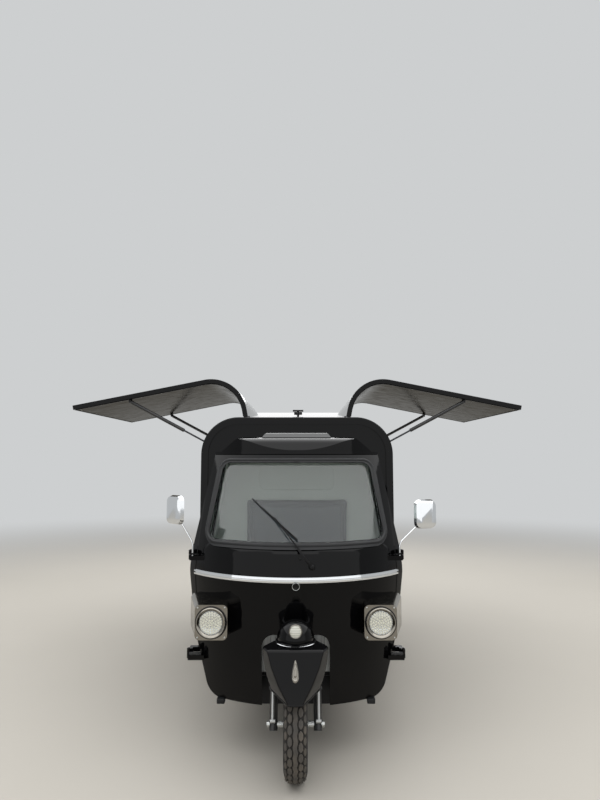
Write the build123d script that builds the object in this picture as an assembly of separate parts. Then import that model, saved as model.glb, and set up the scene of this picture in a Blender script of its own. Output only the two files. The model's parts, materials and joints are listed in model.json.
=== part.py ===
from build123d import *
import math
import os

# Electric three-wheeled vending truck, at full size, in millimetres.
# It faces -Y and stands on Z = 0. Its own left side is +X. It stands with both gull-wing
# sides and the rear hatch raised, as it does when it trades.

os.makedirs("parts", exist_ok=True)

# Wheels and steering
tyre_radius = 233.0
tyre_width = 108.0
rim_radius = 130.0
rim_width = 92.0
front_axle_y = -1620.0
rear_axle_y = 450.0
rear_track = 1040.0
steering_rake = 22.0
fork_offset = 40.0
fork_leg_spacing = 204.0
fork_leg_radius = 19.0
fork_length = 300.0
column_radius = 15.0
head_tube_radius = 26.0
head_tube_start = 440.0
head_tube_end = 600.0
handlebar_reach = 740.0
axle_radius = 9.0
hub_half_width = 42.0

# Gap between pieces that rest against each other
fit = 0.3

# Cab
wall = 25.0
door_thickness = 28.0
nose_radius = 691.0
sill_height = 258.0
waist_height = 863.0
header_height = 1475.0
waist_half_width = 568.0
cab_floor_height = 350.0
cab_floor_thickness = 20.0
door_gap = 6.0
door_front_y = -1290.0
door_rear_y = -640.0
door_bottom = 335.0
door_top = 1448.0
pillar_knee = 985.0
pillar_slope = 0.655
window_border = 48.0
glass_thickness = 6.0
seal_width = 30.0
seal_overlap = 8.0
notch_half_width = 165.0
notch_top = 600.0
hinge_axis_x = 553.0
hinge_axis_y = -1304.0
hinge_pin_radius = 5.0
hinge_knuckle_radius = 11.0
hinge_heights = (452.0, 950.0)

# Kiosk body
box_half_width = 645.0
box_top = 1730.0
box_corner_radius = 250.0
box_front_y = -470.0
box_rear_y = 1130.0
hoop_depth = 80.0
hoop_rim = 48.0
hoop_recess = 12.0
floor_top = 550.0
floor_thickness = 30.0
skirt_bottom = 300.0
skirt_thickness = 20.0
panel_thickness = 30.0
panel_gap = 5.0
roof_half_width = 330.0
wing_open_angle = 78.8
hinge_barrel_radius = 7.0
hatch_half_width = 500.0
hatch_bottom = 935.0
hatch_open_angle = 106.0
hatch_opening_half_width = 465.0
hatch_opening_bottom = 960.0
hatch_opening_top = 1640.0
counter_height = 900.0
counter_inner_x = 275.0
counter_outer_x = 560.0
counter_thickness = 20.0

# Chassis
rail_x = 250.0
rail_width = 50.0
rail_height = 60.0
rail_front_y = -1330.0
rail_rear_y = 1125.0

# Gas struts
strut_tube_radius = 12.0
strut_bore_radius = 6.5
strut_rod_radius = 6.0
strut_pin_radius = 5.0
eye_half_width = 6.5
stud_gap = 0.5


def save(name, *solids):
    """Writes one node, as one solid or as several that stand apart."""
    shape = solids[0] if len(solids) == 1 else Compound(children=list(solids))
    export_step(shape, f"parts/{name}.step")


def outline(corners):
    """A closed face from corners given as across, up, corner radius."""
    points = [(across, up) for across, up, radius in corners]
    radii = [radius for across, up, radius in corners]
    return make_face(FilletPolyline(*points, radius=radii, close=True))


def both_sides(half):
    """The right half of an outline, from its foot to its top, and its mirror image."""
    return half + [(-across, up, radius) for across, up, radius in reversed(half)]


def along_y(face, start, end):
    """A prism of a front view (across, up) between two stations."""
    plane = Plane((0, end, 0), x_dir=(1, 0, 0), z_dir=(0, -1, 0))
    return extrude(plane * face, end - start)


def along_x(face, start, end):
    """A prism of a side view (station, up) between two widths."""
    plane = Plane((start, 0, 0), x_dir=(0, 1, 0), z_dir=(1, 0, 0))
    return extrude(plane * face, end - start)


def along_z(face, start, end):
    """A prism of a plan view (across, station) between two heights."""
    return extrude(Pos(0, 0, start) * face, end - start)


def block(x, y, z):
    """A box given by its low and high coordinate along each axis."""
    size = (x[1] - x[0], y[1] - y[0], z[1] - z[0])
    return Pos(x[0] + size[0] / 2, y[0] + size[1] / 2, z[0] + size[2] / 2) * Box(*size)


def rod(start, end, radius):
    """A round bar between two points."""
    start = Vector(*start)
    end = Vector(*end)
    plane = Plane(start, z_dir=end - start)
    return extrude(plane * Circle(radius), (end - start).length)


def bent_bar(points, bend_radius, radius):
    """A round bar along straight runs joined by tangent bends."""
    path = FilletPolyline(*points, radius=bend_radius)
    return sweep(Plane(path @ 0, z_dir=path % 0) * Circle(radius), path=path)


def mirrored(solid):
    """The same piece on the other side of the truck."""
    return mirror(solid, about=Plane.YZ)


# Cab shell. The nose is one plan arc that stands further back with each height below the
# waist and above it, where the windscreen is raked.
nose_profile = [
    # height, how far forward the middle of the nose stands
    (200.0, -1482.0),
    (600.0, -1520.0),
    (waist_height, -1540.0),
    (985.0, -1527.0),
    (header_height, -1190.0),
]
cab_back_y = box_front_y + hoop_recess
nose_half_span = 600.0


def nose_plan(middle_y, inset):
    """Plan of the cab behind its nose arc, drawn in by an inset."""
    radius = nose_radius - inset
    centre_y = middle_y + nose_radius
    corner_y = centre_y - math.sqrt(radius**2 - nose_half_span**2)
    front = ThreePointArc(
        (-nose_half_span, corner_y), (0, centre_y - radius), (nose_half_span, corner_y)
    )
    back = Polyline(
        (nose_half_span, corner_y),
        (nose_half_span, cab_back_y),
        (-nose_half_span, cab_back_y),
        (-nose_half_span, corner_y),
    )
    return make_face(front + back)


def cab_front_view(inset, foot):
    """Front view of the cab below its roof: narrow sill, full waist, leaning pillars."""
    lean = (528.0 - 440.0) / (560.0 - sill_height)
    corner = 85.0 if foot == sill_height else 0.0
    return outline(
        both_sides(
            [
                (440.0 - inset - lean * (sill_height - foot), foot, corner),
                (528.0 - inset, 560.0, 260.0),
                (waist_half_width - inset, 870.0, 300.0),
                (472.0 - inset, header_height, 0.0),
            ]
        )
    )


def cab_solid(inset, foot=200.0):
    """The cab's outer form drawn in by an inset, or let out where it is negative."""
    sections = [Pos(0, 0, height) * nose_plan(middle_y, inset) for height, middle_y in nose_profile]
    nose = loft(sections, ruled=True)
    return nose & along_y(cab_front_view(inset, foot), -1700, cab_back_y)


cab_outer = cab_solid(0.0, sill_height)
cab_let_out = cab_solid(0.0)
cab_inner = cab_solid(wall)
shell = cab_outer - cab_inner


def skin_band(outer, inner, front_face):
    """A layer that follows the nose, between two insets, within a front-view outline."""
    return (cab_solid(outer) - cab_solid(inner)) & along_y(front_face, -1700, -900)


def door_view(grow):
    """Side view of a door, let out by a gap all round. Its front edge follows the pillar."""
    top = door_top + grow
    return outline(
        [
            (door_front_y - grow, door_bottom - grow, 30.0),
            (door_front_y - grow, pillar_knee, 60.0),
            (door_front_y - grow + (top - pillar_knee) * pillar_slope, top, 20.0),
            (door_rear_y + grow, top, 30.0),
            (door_rear_y + grow, door_bottom - grow, 30.0),
        ]
    )


def window_view(border):
    """Side view of a door window, inside its frame."""
    foot = pillar_knee - 20.0 + border - window_border
    top = door_top - border
    front = door_front_y + border + 14.0
    return outline(
        [
            (front + (foot - pillar_knee) * pillar_slope + 20.0, foot, 30.0),
            (front + (top - pillar_knee) * pillar_slope + 8.0, top, 20.0),
            (door_rear_y - border, top, 25.0),
            (door_rear_y - border, foot, 30.0),
        ]
    )


def front_zone():
    """Side view of all that lies ahead of the doors."""
    edge = door_front_y - door_gap
    return outline(
        [
            (-1700.0, 150.0, 0.0),
            (edge, 150.0, 0.0),
            (edge, pillar_knee, 60.0),
            (edge + (header_height + 5.0 - pillar_knee) * pillar_slope, header_height + 5.0, 0.0),
            (-1700.0, header_height + 5.0, 0.0),
        ]
    )


def windscreen_view(grow):
    """Front view of the windscreen glass, let out by the width of its seal."""
    return outline(
        both_sides(
            [
                (464.0 + grow, 1035.0 - grow, 45.0 + grow),
                (410.0 + grow, 1430.0 + grow * 0.8, 50.0 + grow),
            ]
        )
    )


# Ridge over the steering column, pressed in the nose panel
ridge_view = outline(both_sides([(29.0, 640.0, 0.0), (29.0, 846.0, 28.0)]))
ridge = skin_band(-16.0, 2.0, ridge_view)

front_block = along_x(front_zone(), -700, 700)
notch_view = outline(both_sides([(notch_half_width, 100.0, 0.0), (notch_half_width, notch_top, 60.0)]))
seal_seat = windscreen_view(seal_width - seal_overlap)
cab_front = shell & front_block
cab_front = cab_front + ridge
cab_front = cab_front - along_y(notch_view, -1700, -1300)
cab_front = cab_front - along_y(seal_seat, -1700, -900)

glass_inset = 8.0
windscreen = skin_band(glass_inset, glass_inset + glass_thickness, windscreen_view(-fit))
seal_lip = skin_band(-8.0, 0.0, windscreen_view(seal_width) - windscreen_view(0.0))
seal_core = skin_band(0.0, wall, seal_seat - windscreen_view(0.0))
windscreen_seal = seal_lip + seal_core

# Chrome waist strip: a flat base with two ridges
strip_half_height = 13.0
strip_parts = [
    # low, high, how far it stands out
    (-strip_half_height, strip_half_height, 5.0),
    (-strip_half_height + 2.0, -3.0, 11.0),
    (3.0, strip_half_height - 2.0, 11.0),
]
strip = None
for low, high, proud in strip_parts:
    band_view = outline(both_sides([(640.0, waist_height + low, 0.0), (640.0, waist_height + high, 0.0)]))
    band = skin_band(-proud, 0.0, band_view) & block((-700, 700), (-1700, door_front_y - 14.0), (0, 2000))
    strip = band if strip is None else strip + band

# Door hinges: the body carries the lower knuckle and the pin, the door the upper knuckle
knuckle = 24.0


def body_hinge(height):
    """Bracket, lower knuckle and pin of one hinge, on the left side."""
    bracket = block((470, hinge_axis_x), (-1342, hinge_axis_y), (height - knuckle, height - 1.0))
    barrel = Pos(hinge_axis_x, hinge_axis_y, height - knuckle) * extrude(
        Circle(hinge_knuckle_radius), knuckle - 1.0
    )
    pin = Pos(hinge_axis_x, hinge_axis_y, height - knuckle) * extrude(
        Circle(hinge_pin_radius), 2 * knuckle + 3.0
    )
    return (bracket - cab_let_out) + barrel + pin


def door_hinge(height):
    """Arm and upper knuckle of one hinge, on the left door."""
    near = block((535, hinge_axis_x), (hinge_axis_y, -1283), (height + 1.0, height + knuckle))
    far = block((500, hinge_axis_x), (-1283.5, -1255), (height + 1.0, height + knuckle))
    barrel = Pos(hinge_axis_x, hinge_axis_y, height + 1.0) * extrude(
        Circle(hinge_knuckle_radius), knuckle - 1.0
    )
    bore = Pos(hinge_axis_x, hinge_axis_y, height) * extrude(Circle(hinge_pin_radius + 0.4), knuckle + 1.0)
    arm = (near - cab_solid(-3.0)) + (far - cab_let_out) + barrel
    return arm - bore


for height in hinge_heights:
    left_hinge = body_hinge(height)
    cab_front = cab_front + left_hinge + mirrored(left_hinge)

save("cab_front", cab_front)
save("windscreen", windscreen)
save("windscreen_seal", windscreen_seal)
save("chrome_strip", strip)

# Doors and the cab sides around them
side_shell = shell - front_block - along_x(door_view(door_gap), -700, 700)
left_half = block((0, 800), (-1700, 0), (100, 1600))
side_left = side_shell & left_half
door_shell = cab_outer - cab_solid(door_thickness)
door_left = door_shell & along_x(door_view(0.0), 0, 700)
door_left = door_left - along_x(window_view(window_border), 0, 700)
for height in hinge_heights:
    door_left = door_left + door_hinge(height)
door_left = door_left + ((block((540, 578), (-720, -670), (900, 930))) - cab_let_out)
glass_shell = cab_solid(13.0) - cab_solid(13.0 + glass_thickness)
door_glass_left = glass_shell & along_x(window_view(window_border + fit), 0, 700)
save("cab_side_left", side_left)
save("cab_side_right", mirrored(side_left))
save("door_left", door_left)
save("door_right", mirrored(door_left))
save("door_glass_left", door_glass_left)
save("door_glass_right", mirrored(door_glass_left))

# Cab roof: a crowned panel inside a gutter, with a raised middle
roof_front_y = -1195.0
roof_crown = 1590.0
gutter_top = 1490.0
gutter_half_width = 472.0
gutter_width = 48.0


def roof_solid(inset, foot):
    """The crowned roof panel's form, drawn in by an inset, down to its foot."""
    front_view = outline(
        both_sides(
            [
                (432.0 - inset, foot, 0.0),
                (432.0 - inset, gutter_top + 4.0 - inset, 12.0),
                (330.0 - inset * 0.6, 1574.0 - inset, 90.0),
            ]
        )
    )
    side_view = outline(
        [
            (roof_front_y + 20.0 + inset, foot, 0.0),
            (roof_front_y + 20.0 + inset, gutter_top + 6.0 - inset, 10.0),
            (-1110.0 + inset, 1560.0 - inset, 90.0),
            (-930.0, roof_crown - inset, 300.0),
            (cab_back_y, roof_crown - inset, 0.0),
            (cab_back_y, foot, 0.0),
        ]
    )
    body = along_y(front_view, -1300, cab_back_y) & along_x(side_view, -700, 700)
    return body & along_z(nose_plan(roof_front_y + 20.0, inset), foot, 1700)


def gutter_solid(inset):
    """The gutter's plan, drawn in by an inset, as a flat plate."""
    plate = along_z(nose_plan(roof_front_y, inset), header_height, gutter_top)
    reach = gutter_half_width - inset
    return plate & block((-reach, reach), (-1400, cab_back_y), (1400, 1600))


raised_view = outline(both_sides([(196.0, 1540.0, 0.0), (196.0, 1578.0, 8.0), (180.0, 1600.0, 16.0)]))
raised_side = outline(
    [
        (-1060.0, 1540.0, 0.0),
        (-1060.0, 1572.0, 0.0),
        (-1000.0, 1600.0, 60.0),
        (cab_back_y, 1600.0, 0.0),
        (cab_back_y, 1540.0, 0.0),
    ]
)
raised_panel = along_y(raised_view, -1100, cab_back_y) & along_x(raised_side, -300, 300)
gutter = gutter_solid(0.0) - gutter_solid(gutter_width)
cab_roof = gutter + roof_solid(0.0, header_height) + raised_panel - roof_solid(wall, header_height - 60.0)
save("cab_roof", cab_roof)

# Cab floor with the housing over the front wheel
well_half_width = 192.0
well_rear_y = -1330.0
well_top = 620.0
well_wall = 6.0


def steering_point(reach):
    """A point on the steering axis, measured up from beside the front axle."""
    rake = math.radians(steering_rake)
    foot_y = front_axle_y + fork_offset * math.cos(rake)
    foot_z = tyre_radius - fork_offset * math.sin(rake)
    return (0.0, foot_y + reach * math.sin(rake), foot_z + reach * math.cos(rake))


cab_room = cab_solid(wall + fit)
floor_slab = cab_room & block(
    (-600, 600), (-1700, cab_back_y), (cab_floor_height, cab_floor_height + cab_floor_thickness)
)
floor_slab = floor_slab - (along_x(door_view(door_gap), -700, 700) - cab_solid(door_thickness + door_gap))
well_outer = block((-well_half_width, well_half_width), (-1700, well_rear_y), (cab_floor_height, well_top))
well_inner = block(
    (-well_half_width + well_wall, well_half_width - well_wall),
    (-1700, well_rear_y - well_wall),
    (cab_floor_height - 50, well_top - well_wall),
)
cab_floor = (floor_slab + (well_outer & cab_room)) - well_inner
column_hole = rod(steering_point(380.0), steering_point(520.0), head_tube_radius + 6.0)
post = block((-30, 30), (-1327, -1287), (cab_floor_height - 5, 770))
cab_floor = cab_floor - column_hole - post
save("cab_floor", cab_floor)

# Seat, lining and dash
cab_floor_top = cab_floor_height + cab_floor_thickness
lining_thickness = 8.0
lining_gap = 20.0
lining_rear_y = cab_back_y - lining_gap
lining_front_y = lining_rear_y - lining_thickness
seat_height = 600.0
cushion_thickness = 90.0
back_rest_thickness = 76.0
back_rest_top = 1200.0
cushion_radius = 28.0
seat_base = block((-390, 390), (-900, -505), (cab_floor_top, seat_height))
seat_base = fillet(seat_base.edges().filter_by(Axis.Z), 25)
save("seat_base", seat_base)
cushion = block((-415, 415), (-930, -500), (seat_height, seat_height + cushion_thickness))
cushion = fillet(cushion.edges(), cushion_radius)
back_rest_rear_y = lining_front_y - fit
back_rest = block(
    (-345, 345),
    (back_rest_rear_y - back_rest_thickness, back_rest_rear_y),
    (seat_height + cushion_thickness + 12.0, back_rest_top),
)
back_rest = fillet(back_rest.edges(), cushion_radius)
save("bench_seat", cushion, back_rest)
lining = cab_room & block(
    (-600, 600), (lining_front_y, lining_rear_y), (cab_floor_top, header_height)
)
lining_foot = cab_room & block(
    (-600, 600), (lining_rear_y, cab_back_y), (cab_floor_top, cab_floor_top + 50.0)
)
save("cab_rear_lining", lining + lining_foot)
dash = cab_room & block((-600, 600), (-1700, -1425), (958, 984))
save("dash_shelf", dash)

# Headlamps in flared square housings
lamp_x = 411.0
lamp_z = 660.0
lamp_face_y = -1520.0


def rounded_plate(x, z, width, height, radius, y):
    """A rounded rectangle standing across the truck at a station."""
    plane = Plane((x, y, z), x_dir=(1, 0, 0), z_dir=(0, -1, 0))
    return plane * RectangleRounded(width, height, radius)


lamp_front = rounded_plate(lamp_x, lamp_z, 158.0, 166.0, 24.0, lamp_face_y)
lamp_back = rounded_plate(lamp_x + 24.0, lamp_z + 5.0, 222.0, 188.0, 30.0, -1312.0)
housing = loft([lamp_front, lamp_back], ruled=True) - cab_let_out
housing = max(housing.solids(), key=lambda solid: solid.volume)
save("headlamp_housings", housing, mirrored(housing))
bezel_profile = outline(
    [(57.0, 0.0, 0.0), (75.0, 0.0, 0.0), (75.0, 8.0, 3.0), (66.0, 14.0, 5.0), (57.0, 9.0, 2.0)]
)
lamp_plane = Plane((lamp_x, lamp_face_y, lamp_z), x_dir=(1, 0, 0), z_dir=(0, -1, 0))
bezel = lamp_plane.location * revolve(Plane.XZ * bezel_profile, Axis.Z)
save("headlamp_bezels", bezel, mirrored(bezel))
lens_profile = outline(
    [(0.0, 0.0, 0.0), (56.7, 0.0, 0.0), (56.7, 7.0, 0.0), (38.0, 14.0, 60.0), (0.0, 17.0, 0.0)]
)
lens = lamp_plane.location * revolve(Plane.XZ * lens_profile, Axis.Z)
save("headlamp_lenses", lens, mirrored(lens))

# Mirrors on stems from the upper hinge brackets
mirror_table = [
    # side, centre across, station, height, turn about the upright
    (1, 676.0, -1345.0, 1162.0, 12.0),
    (-1, 636.0, -1345.0, 1184.0, 38.0),
]
mirrors = []
for side, across, station, height, turn in mirror_table:
    stem_path = [
        (side * (hinge_axis_x - 14), -1328.0, hinge_heights[1] - 12.0),
        (side * (hinge_axis_x - 14), -1328.0, hinge_heights[1] + 62.0),
        (side * (across - 12.0), station + 14.0, height - 30.0),
    ]
    stem = bent_bar(stem_path, 25.0, 5.0)
    head = Pos(side * across, station, height) * Rot(0, 0, side * turn) * Box(120, 30, 150)
    head = fillet(head.edges().filter_by(lambda edge: edge.length > 100), 13)
    mirrors.append(head + (stem - block((-700, 700), (-1400, -1200), (0, hinge_heights[1] - 1.0))))
save("mirrors", *mirrors)

# Wiper: pivot on the scuttle, arm and blade lying along the glass
wiper_pivot = (78.0, 925.0)
wiper_joint = (-118.0, 1172.0)
blade_ends = ((-232.0, 1240.0), (8.0, 1048.0))


def strip_view(start, end, width):
    """A slim bar in front view between two points."""
    line = Line(start, end)
    middle = line @ 0.5
    turn = math.degrees(math.atan2(end[1] - start[1], end[0] - start[0]))
    return Pos(middle.X, middle.Y) * Rot(0, 0, turn) * Rectangle(line.length, width)


blade = skin_band(-16.0, 7.5, strip_view(*blade_ends, 9.0))
arm = skin_band(-26.0, -15.5, strip_view(wiper_pivot, wiper_joint, 12.0))
boss = along_y(Pos(*wiper_pivot) * Circle(15.0), -1575, -1500) - cab_let_out
save("wiper", blade + arm + boss)

# Fork, column and handlebar
axle_z = tyre_radius
leg_x = fork_leg_spacing / 2
rake = math.radians(steering_rake)


def fork_point(across, reach, back):
    """A point measured up along the steering axis and square to it, from the front axle."""
    return (
        across,
        front_axle_y + reach * math.sin(rake) + back * math.cos(rake),
        axle_z + reach * math.cos(rake) - back * math.sin(rake),
    )


guard_top_front = (-1812.0, 606.0)
guard_top_rear = (-1580.0, 618.9)
guard_wall = 6.0
guard_slope = (guard_top_rear[1] - guard_top_front[1]) / (guard_top_rear[0] - guard_top_front[0])


def guard_ceiling(station):
    """Height of the mudguard's inner face under its top."""
    return guard_top_front[1] + guard_slope * (station - guard_top_front[0]) - guard_wall


fork = rod(steering_point(fork_length - 30), steering_point(handlebar_reach), column_radius)
for side in (1, -1):
    fork = fork + rod(fork_point(side * leg_x, -26, 0), fork_point(side * leg_x, 170, 0), fork_leg_radius)
    fork = fork + rod(fork_point(side * leg_x, 160, 0), fork_point(side * leg_x, fork_length, 0), 14.0)
steering_dir = (0, math.sin(rake), math.cos(rake))
crown_plane = Plane(fork_point(0, fork_length - 32, 6.0), x_dir=(1, 0, 0), z_dir=steering_dir)
crown = crown_plane * RectangleRounded(fork_leg_spacing + 60, 72, 20)
fork = fork + extrude(crown, 30)
bracket = outline(
    [
        (-1528.0, 490.0, 0.0),
        (-1500.0, 505.0, 0.0),
        (-1590.0, guard_ceiling(-1590.0), 0.0),
        (-1640.0, guard_ceiling(-1640.0), 0.0),
    ]
)
fork = fork + along_x(bracket, -34, 34)
bar = bent_bar([(-262, -1150, 930), (-105, -1306, 904), (105, -1306, 904), (262, -1150, 930)], 60.0, 12.0)
fork = fork + bar
for side in (1, -1):
    grip_start = Vector(side * 262, -1150, 930)
    grip_end = Vector(side * 170, -1241.4, 914.8)
    fork = fork + rod(grip_start, grip_end, 17.0)
axle_clear = rod((-200, front_axle_y, axle_z), (200, front_axle_y, axle_z), axle_radius)
fork = fork - axle_clear
save("fork", fork)
front_axle_reach = leg_x + fork_leg_radius + 7.0
front_axle = rod(
    (-front_axle_reach, front_axle_y, axle_z), (front_axle_reach, front_axle_y, axle_z), axle_radius
)
for side in (1, -1):
    inner = side * (hub_half_width + 0.3)
    outer = side * (leg_x - fork_leg_radius)
    front_axle = front_axle + rod((inner, front_axle_y, axle_z), (outer, front_axle_y, axle_z), 15.0)
    nut = (side * (leg_x + fork_leg_radius), front_axle_y, axle_z)
    front_axle = front_axle + rod(nut, (side * (leg_x + fork_leg_radius + 12), front_axle_y, axle_z), 14.0)
save("front_axle", front_axle)


guard_sections = [
    # height, half width
    (380.0, 40.0),
    (404.0, 56.0),
    (424.0, 76.0),
    (452.0, 100.0),
    (488.0, 124.0),
    (536.0, 142.0),
    (590.0, 152.0),
    (660.0, 158.0),
]
guard_lean = 0.367
guard_foot_y = -1893.0
guard_rear_half = 60.0


def guard_plan(height, half_width, inset):
    """Plan of the mudguard at a height: a flat front with rounded corners, and a narrower rear."""
    front_y = guard_foot_y + guard_lean * (height - guard_sections[0][0]) + inset
    half = half_width - inset
    rear_half = min(half, guard_rear_half)
    rear_y = guard_top_rear[0] + (60.0 if inset else 0.0)
    corner = half * 0.34
    right = [
        (half - corner, front_y),
        (half - corner * 0.3, front_y + corner * 0.3),
        (half, front_y + corner),
        (half, -1712.0),
        (rear_half, rear_y),
    ]
    left = [(-across, station) for across, station in reversed(right)]
    return Pos(0, 0, height) * make_face(Polyline(*right, *left, close=True))


def guard_solid(inset):
    """Mudguard form from its plans and its front and side views, drawn in by an inset."""
    deep = 60.0 if inset else 0.0
    plans = [guard_plan(height, half_width, inset) for height, half_width in guard_sections]
    front_view = outline(
        both_sides([(158.0 - inset, 300.0, 0.0), (158.0 - inset, 640.0 - inset, 60.0)])
    )
    side_view = outline(
        [
            (-1920.0, 396.0 - deep, 0.0),
            (-1920.0, guard_top_front[1] - inset - guard_slope * 108.0, 0.0),
            (guard_top_rear[0] + deep, guard_top_rear[1] - inset + guard_slope * deep, 0.0),
            (guard_top_rear[0] + deep, 540.0 - deep, 0.0),
            (-1640.0 + deep, 524.0 - deep, 0.0 if inset else 40.0),
            (-1770.0, 442.0 - deep, 0.0 if inset else 60.0),
        ]
    )
    return loft(plans, ruled=True) & along_y(front_view, -1950, -1400) & along_x(side_view, -200, 200)


front_mudguard = guard_solid(0.0) - guard_solid(guard_wall)
front_mudguard = max(front_mudguard.solids(), key=lambda solid: solid.volume)
save("front_mudguard", front_mudguard)

dome_y = -1668.0
dome_radius = 86.0
dome_height = 98.0
dome_base_z = guard_ceiling(dome_y) + guard_wall
dome_lip = dome_radius + 3.0
dome_profile = make_face(
    Polyline((0, dome_height), (0, -20.0), (dome_lip, -20.0), (dome_lip, 8.0), (dome_radius, 10.0))
    + ThreePointArc((dome_radius, 10.0), (dome_radius * 0.74, dome_height * 0.74), (0, dome_height))
)
dome = Pos(0, dome_y, dome_base_z) * revolve(Plane.XZ * dome_profile, Axis.Z)
lamp_barrel = rod((0, dome_y - 78, dome_base_z + 58), (0, dome_y - 30, dome_base_z + 50), 31.0)
under_guard = along_x(
    outline(
        [
            (-2000.0, 300.0, 0.0),
            (-2000.0, guard_top_front[1] + guard_slope * (-2000.0 - guard_top_front[0]), 0.0),
            (-1400.0, guard_top_front[1] + guard_slope * (-1400.0 - guard_top_front[0]), 0.0),
            (-1400.0, 300.0, 0.0),
        ]
    ),
    -200,
    200,
)
save("mudguard_lamp", (dome + lamp_barrel) - under_guard)

# Wheels: each tyre and rim is one profile turned about its axle
tyre_half = tyre_width / 2
rim_half = rim_width / 2
tyre_profile = outline(
    [
        (-rim_half + 6.3, rim_radius, 0.0),
        (-rim_half + 6.3, rim_radius + 11.0, 0.0),
        (-tyre_half, rim_radius + 42.0, 30.0),
        (-tyre_half + 5.0, tyre_radius - 24.0, 18.0),
        (-tyre_half + 24.0, tyre_radius, 20.0),
        (tyre_half - 24.0, tyre_radius, 20.0),
        (tyre_half - 5.0, tyre_radius - 24.0, 18.0),
        (tyre_half, rim_radius + 42.0, 30.0),
        (rim_half - 6.3, rim_radius + 11.0, 0.0),
        (rim_half - 6.3, rim_radius, 0.0),
    ]
)


def rim_profile(hub_half, disc_x):
    """Half section of a pressed rim with its disc and hub, from the bore out."""
    barrel = outline(
        [
            (-rim_half, rim_radius + 10.0, 0.0),
            (-rim_half, rim_radius - 4.0, 4.0),
            (-rim_half + 16.0, rim_radius - 12.0, 4.0),
            (rim_half - 16.0, rim_radius - 12.0, 4.0),
            (rim_half, rim_radius - 4.0, 4.0),
            (rim_half, rim_radius + 10.0, 0.0),
            (rim_half - 5.0, rim_radius + 10.0, 0.0),
            (rim_half - 6.0, rim_radius, 0.0),
            (-rim_half + 6.0, rim_radius, 0.0),
            (-rim_half + 5.0, rim_radius + 10.0, 0.0),
        ]
    )
    disc = Pos(disc_x, (rim_radius - 6.0) / 2) * Rectangle(8.0, rim_radius - 8.0)
    hub = Pos(0, 34.0 / 2) * Rectangle(2 * hub_half, 34.0)
    bore = Pos(0, 0) * Rectangle(4 * hub_half, 2 * (axle_radius + 0.3))
    return (barrel + disc + hub) - bore


vent_count = 6
vent_radius = 14.0
vent_circle = 84.0


def turned(profile, across, station):
    """A profile (across, radius) turned about an axle."""
    half_plane = Pos(0, 500) * Rectangle(1000, 1000)
    return Pos(across, station, axle_z) * revolve(profile & half_plane, Axis.X)


def wheel(name, across, station, hub_half, disc_x):
    """Tyre and rim nodes of one wheel."""
    rim = turned(rim_profile(hub_half, disc_x), across, station)
    for index in range(vent_count):
        angle = math.radians(360.0 * index / vent_count)
        centre = (station + vent_circle * math.cos(angle), axle_z + vent_circle * math.sin(angle))
        rim = rim - rod((across - 60, *centre), (across + 60, *centre), vent_radius)
    save(name + "_tyre", turned(tyre_profile, across, station))
    save(name + "_rim", rim)


wheel("front", 0.0, front_axle_y, hub_half_width, 0.0)
wheel("rear_left", rear_track / 2, rear_axle_y, 36.0, 14.0)
wheel("rear_right", -rear_track / 2, rear_axle_y, 36.0, -14.0)

# Rear axle with its motor and leaf springs
axle_tube_radius = 28.0
axle_tube_end = rear_track / 2 - 58.0
motor_radius = 82.0
spring_x = 320.0
spring_half_length = 330.0
leaf_width = 50.0
leaf_pack = 24.0
rail_top = cab_floor_height
rail_bottom = rail_top - rail_height
drum_radius = 72.0


def axle_rod(start, end, radius):
    """A round bar along the rear axle between two widths."""
    return rod((start, rear_axle_y, axle_z), (end, rear_axle_y, axle_z), radius)


rear_axle = axle_rod(-axle_tube_end, axle_tube_end, axle_tube_radius)
rear_axle = rear_axle + axle_rod(-90, 90, motor_radius)
rear_axle = rear_axle + rod((60, rear_axle_y - 60, axle_z), (60, rear_axle_y - 230, axle_z), 62.0)
for side in (1, -1):
    stub = side * (rear_track / 2 + 44.0)
    rear_axle = rear_axle + axle_rod(0, stub, axle_radius)
    spring_foot = axle_z + axle_tube_radius - 2.0
    spring_rise = 46.0
    arc = ThreePointArc(
        (rear_axle_y - spring_half_length, spring_foot + spring_rise),
        (rear_axle_y, spring_foot),
        (rear_axle_y + spring_half_length, spring_foot + spring_rise),
    )
    upper = ThreePointArc(
        (rear_axle_y + spring_half_length, spring_foot + spring_rise + 8.0),
        (rear_axle_y, spring_foot + leaf_pack),
        (rear_axle_y - spring_half_length, spring_foot + spring_rise + 8.0),
    )
    leaf_view = make_face(arc + Line(arc @ 1, upper @ 0) + upper + Line(upper @ 1, arc @ 0))
    middle = side * spring_x
    rear_axle = rear_axle + along_x(leaf_view, middle - leaf_width / 2, middle + leaf_width / 2)
    drum_end = side * (rear_track / 2 - 39.0)
    rear_axle = rear_axle + axle_rod(side * axle_tube_end, drum_end, drum_radius)
save("rear_axle", rear_axle)

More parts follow.
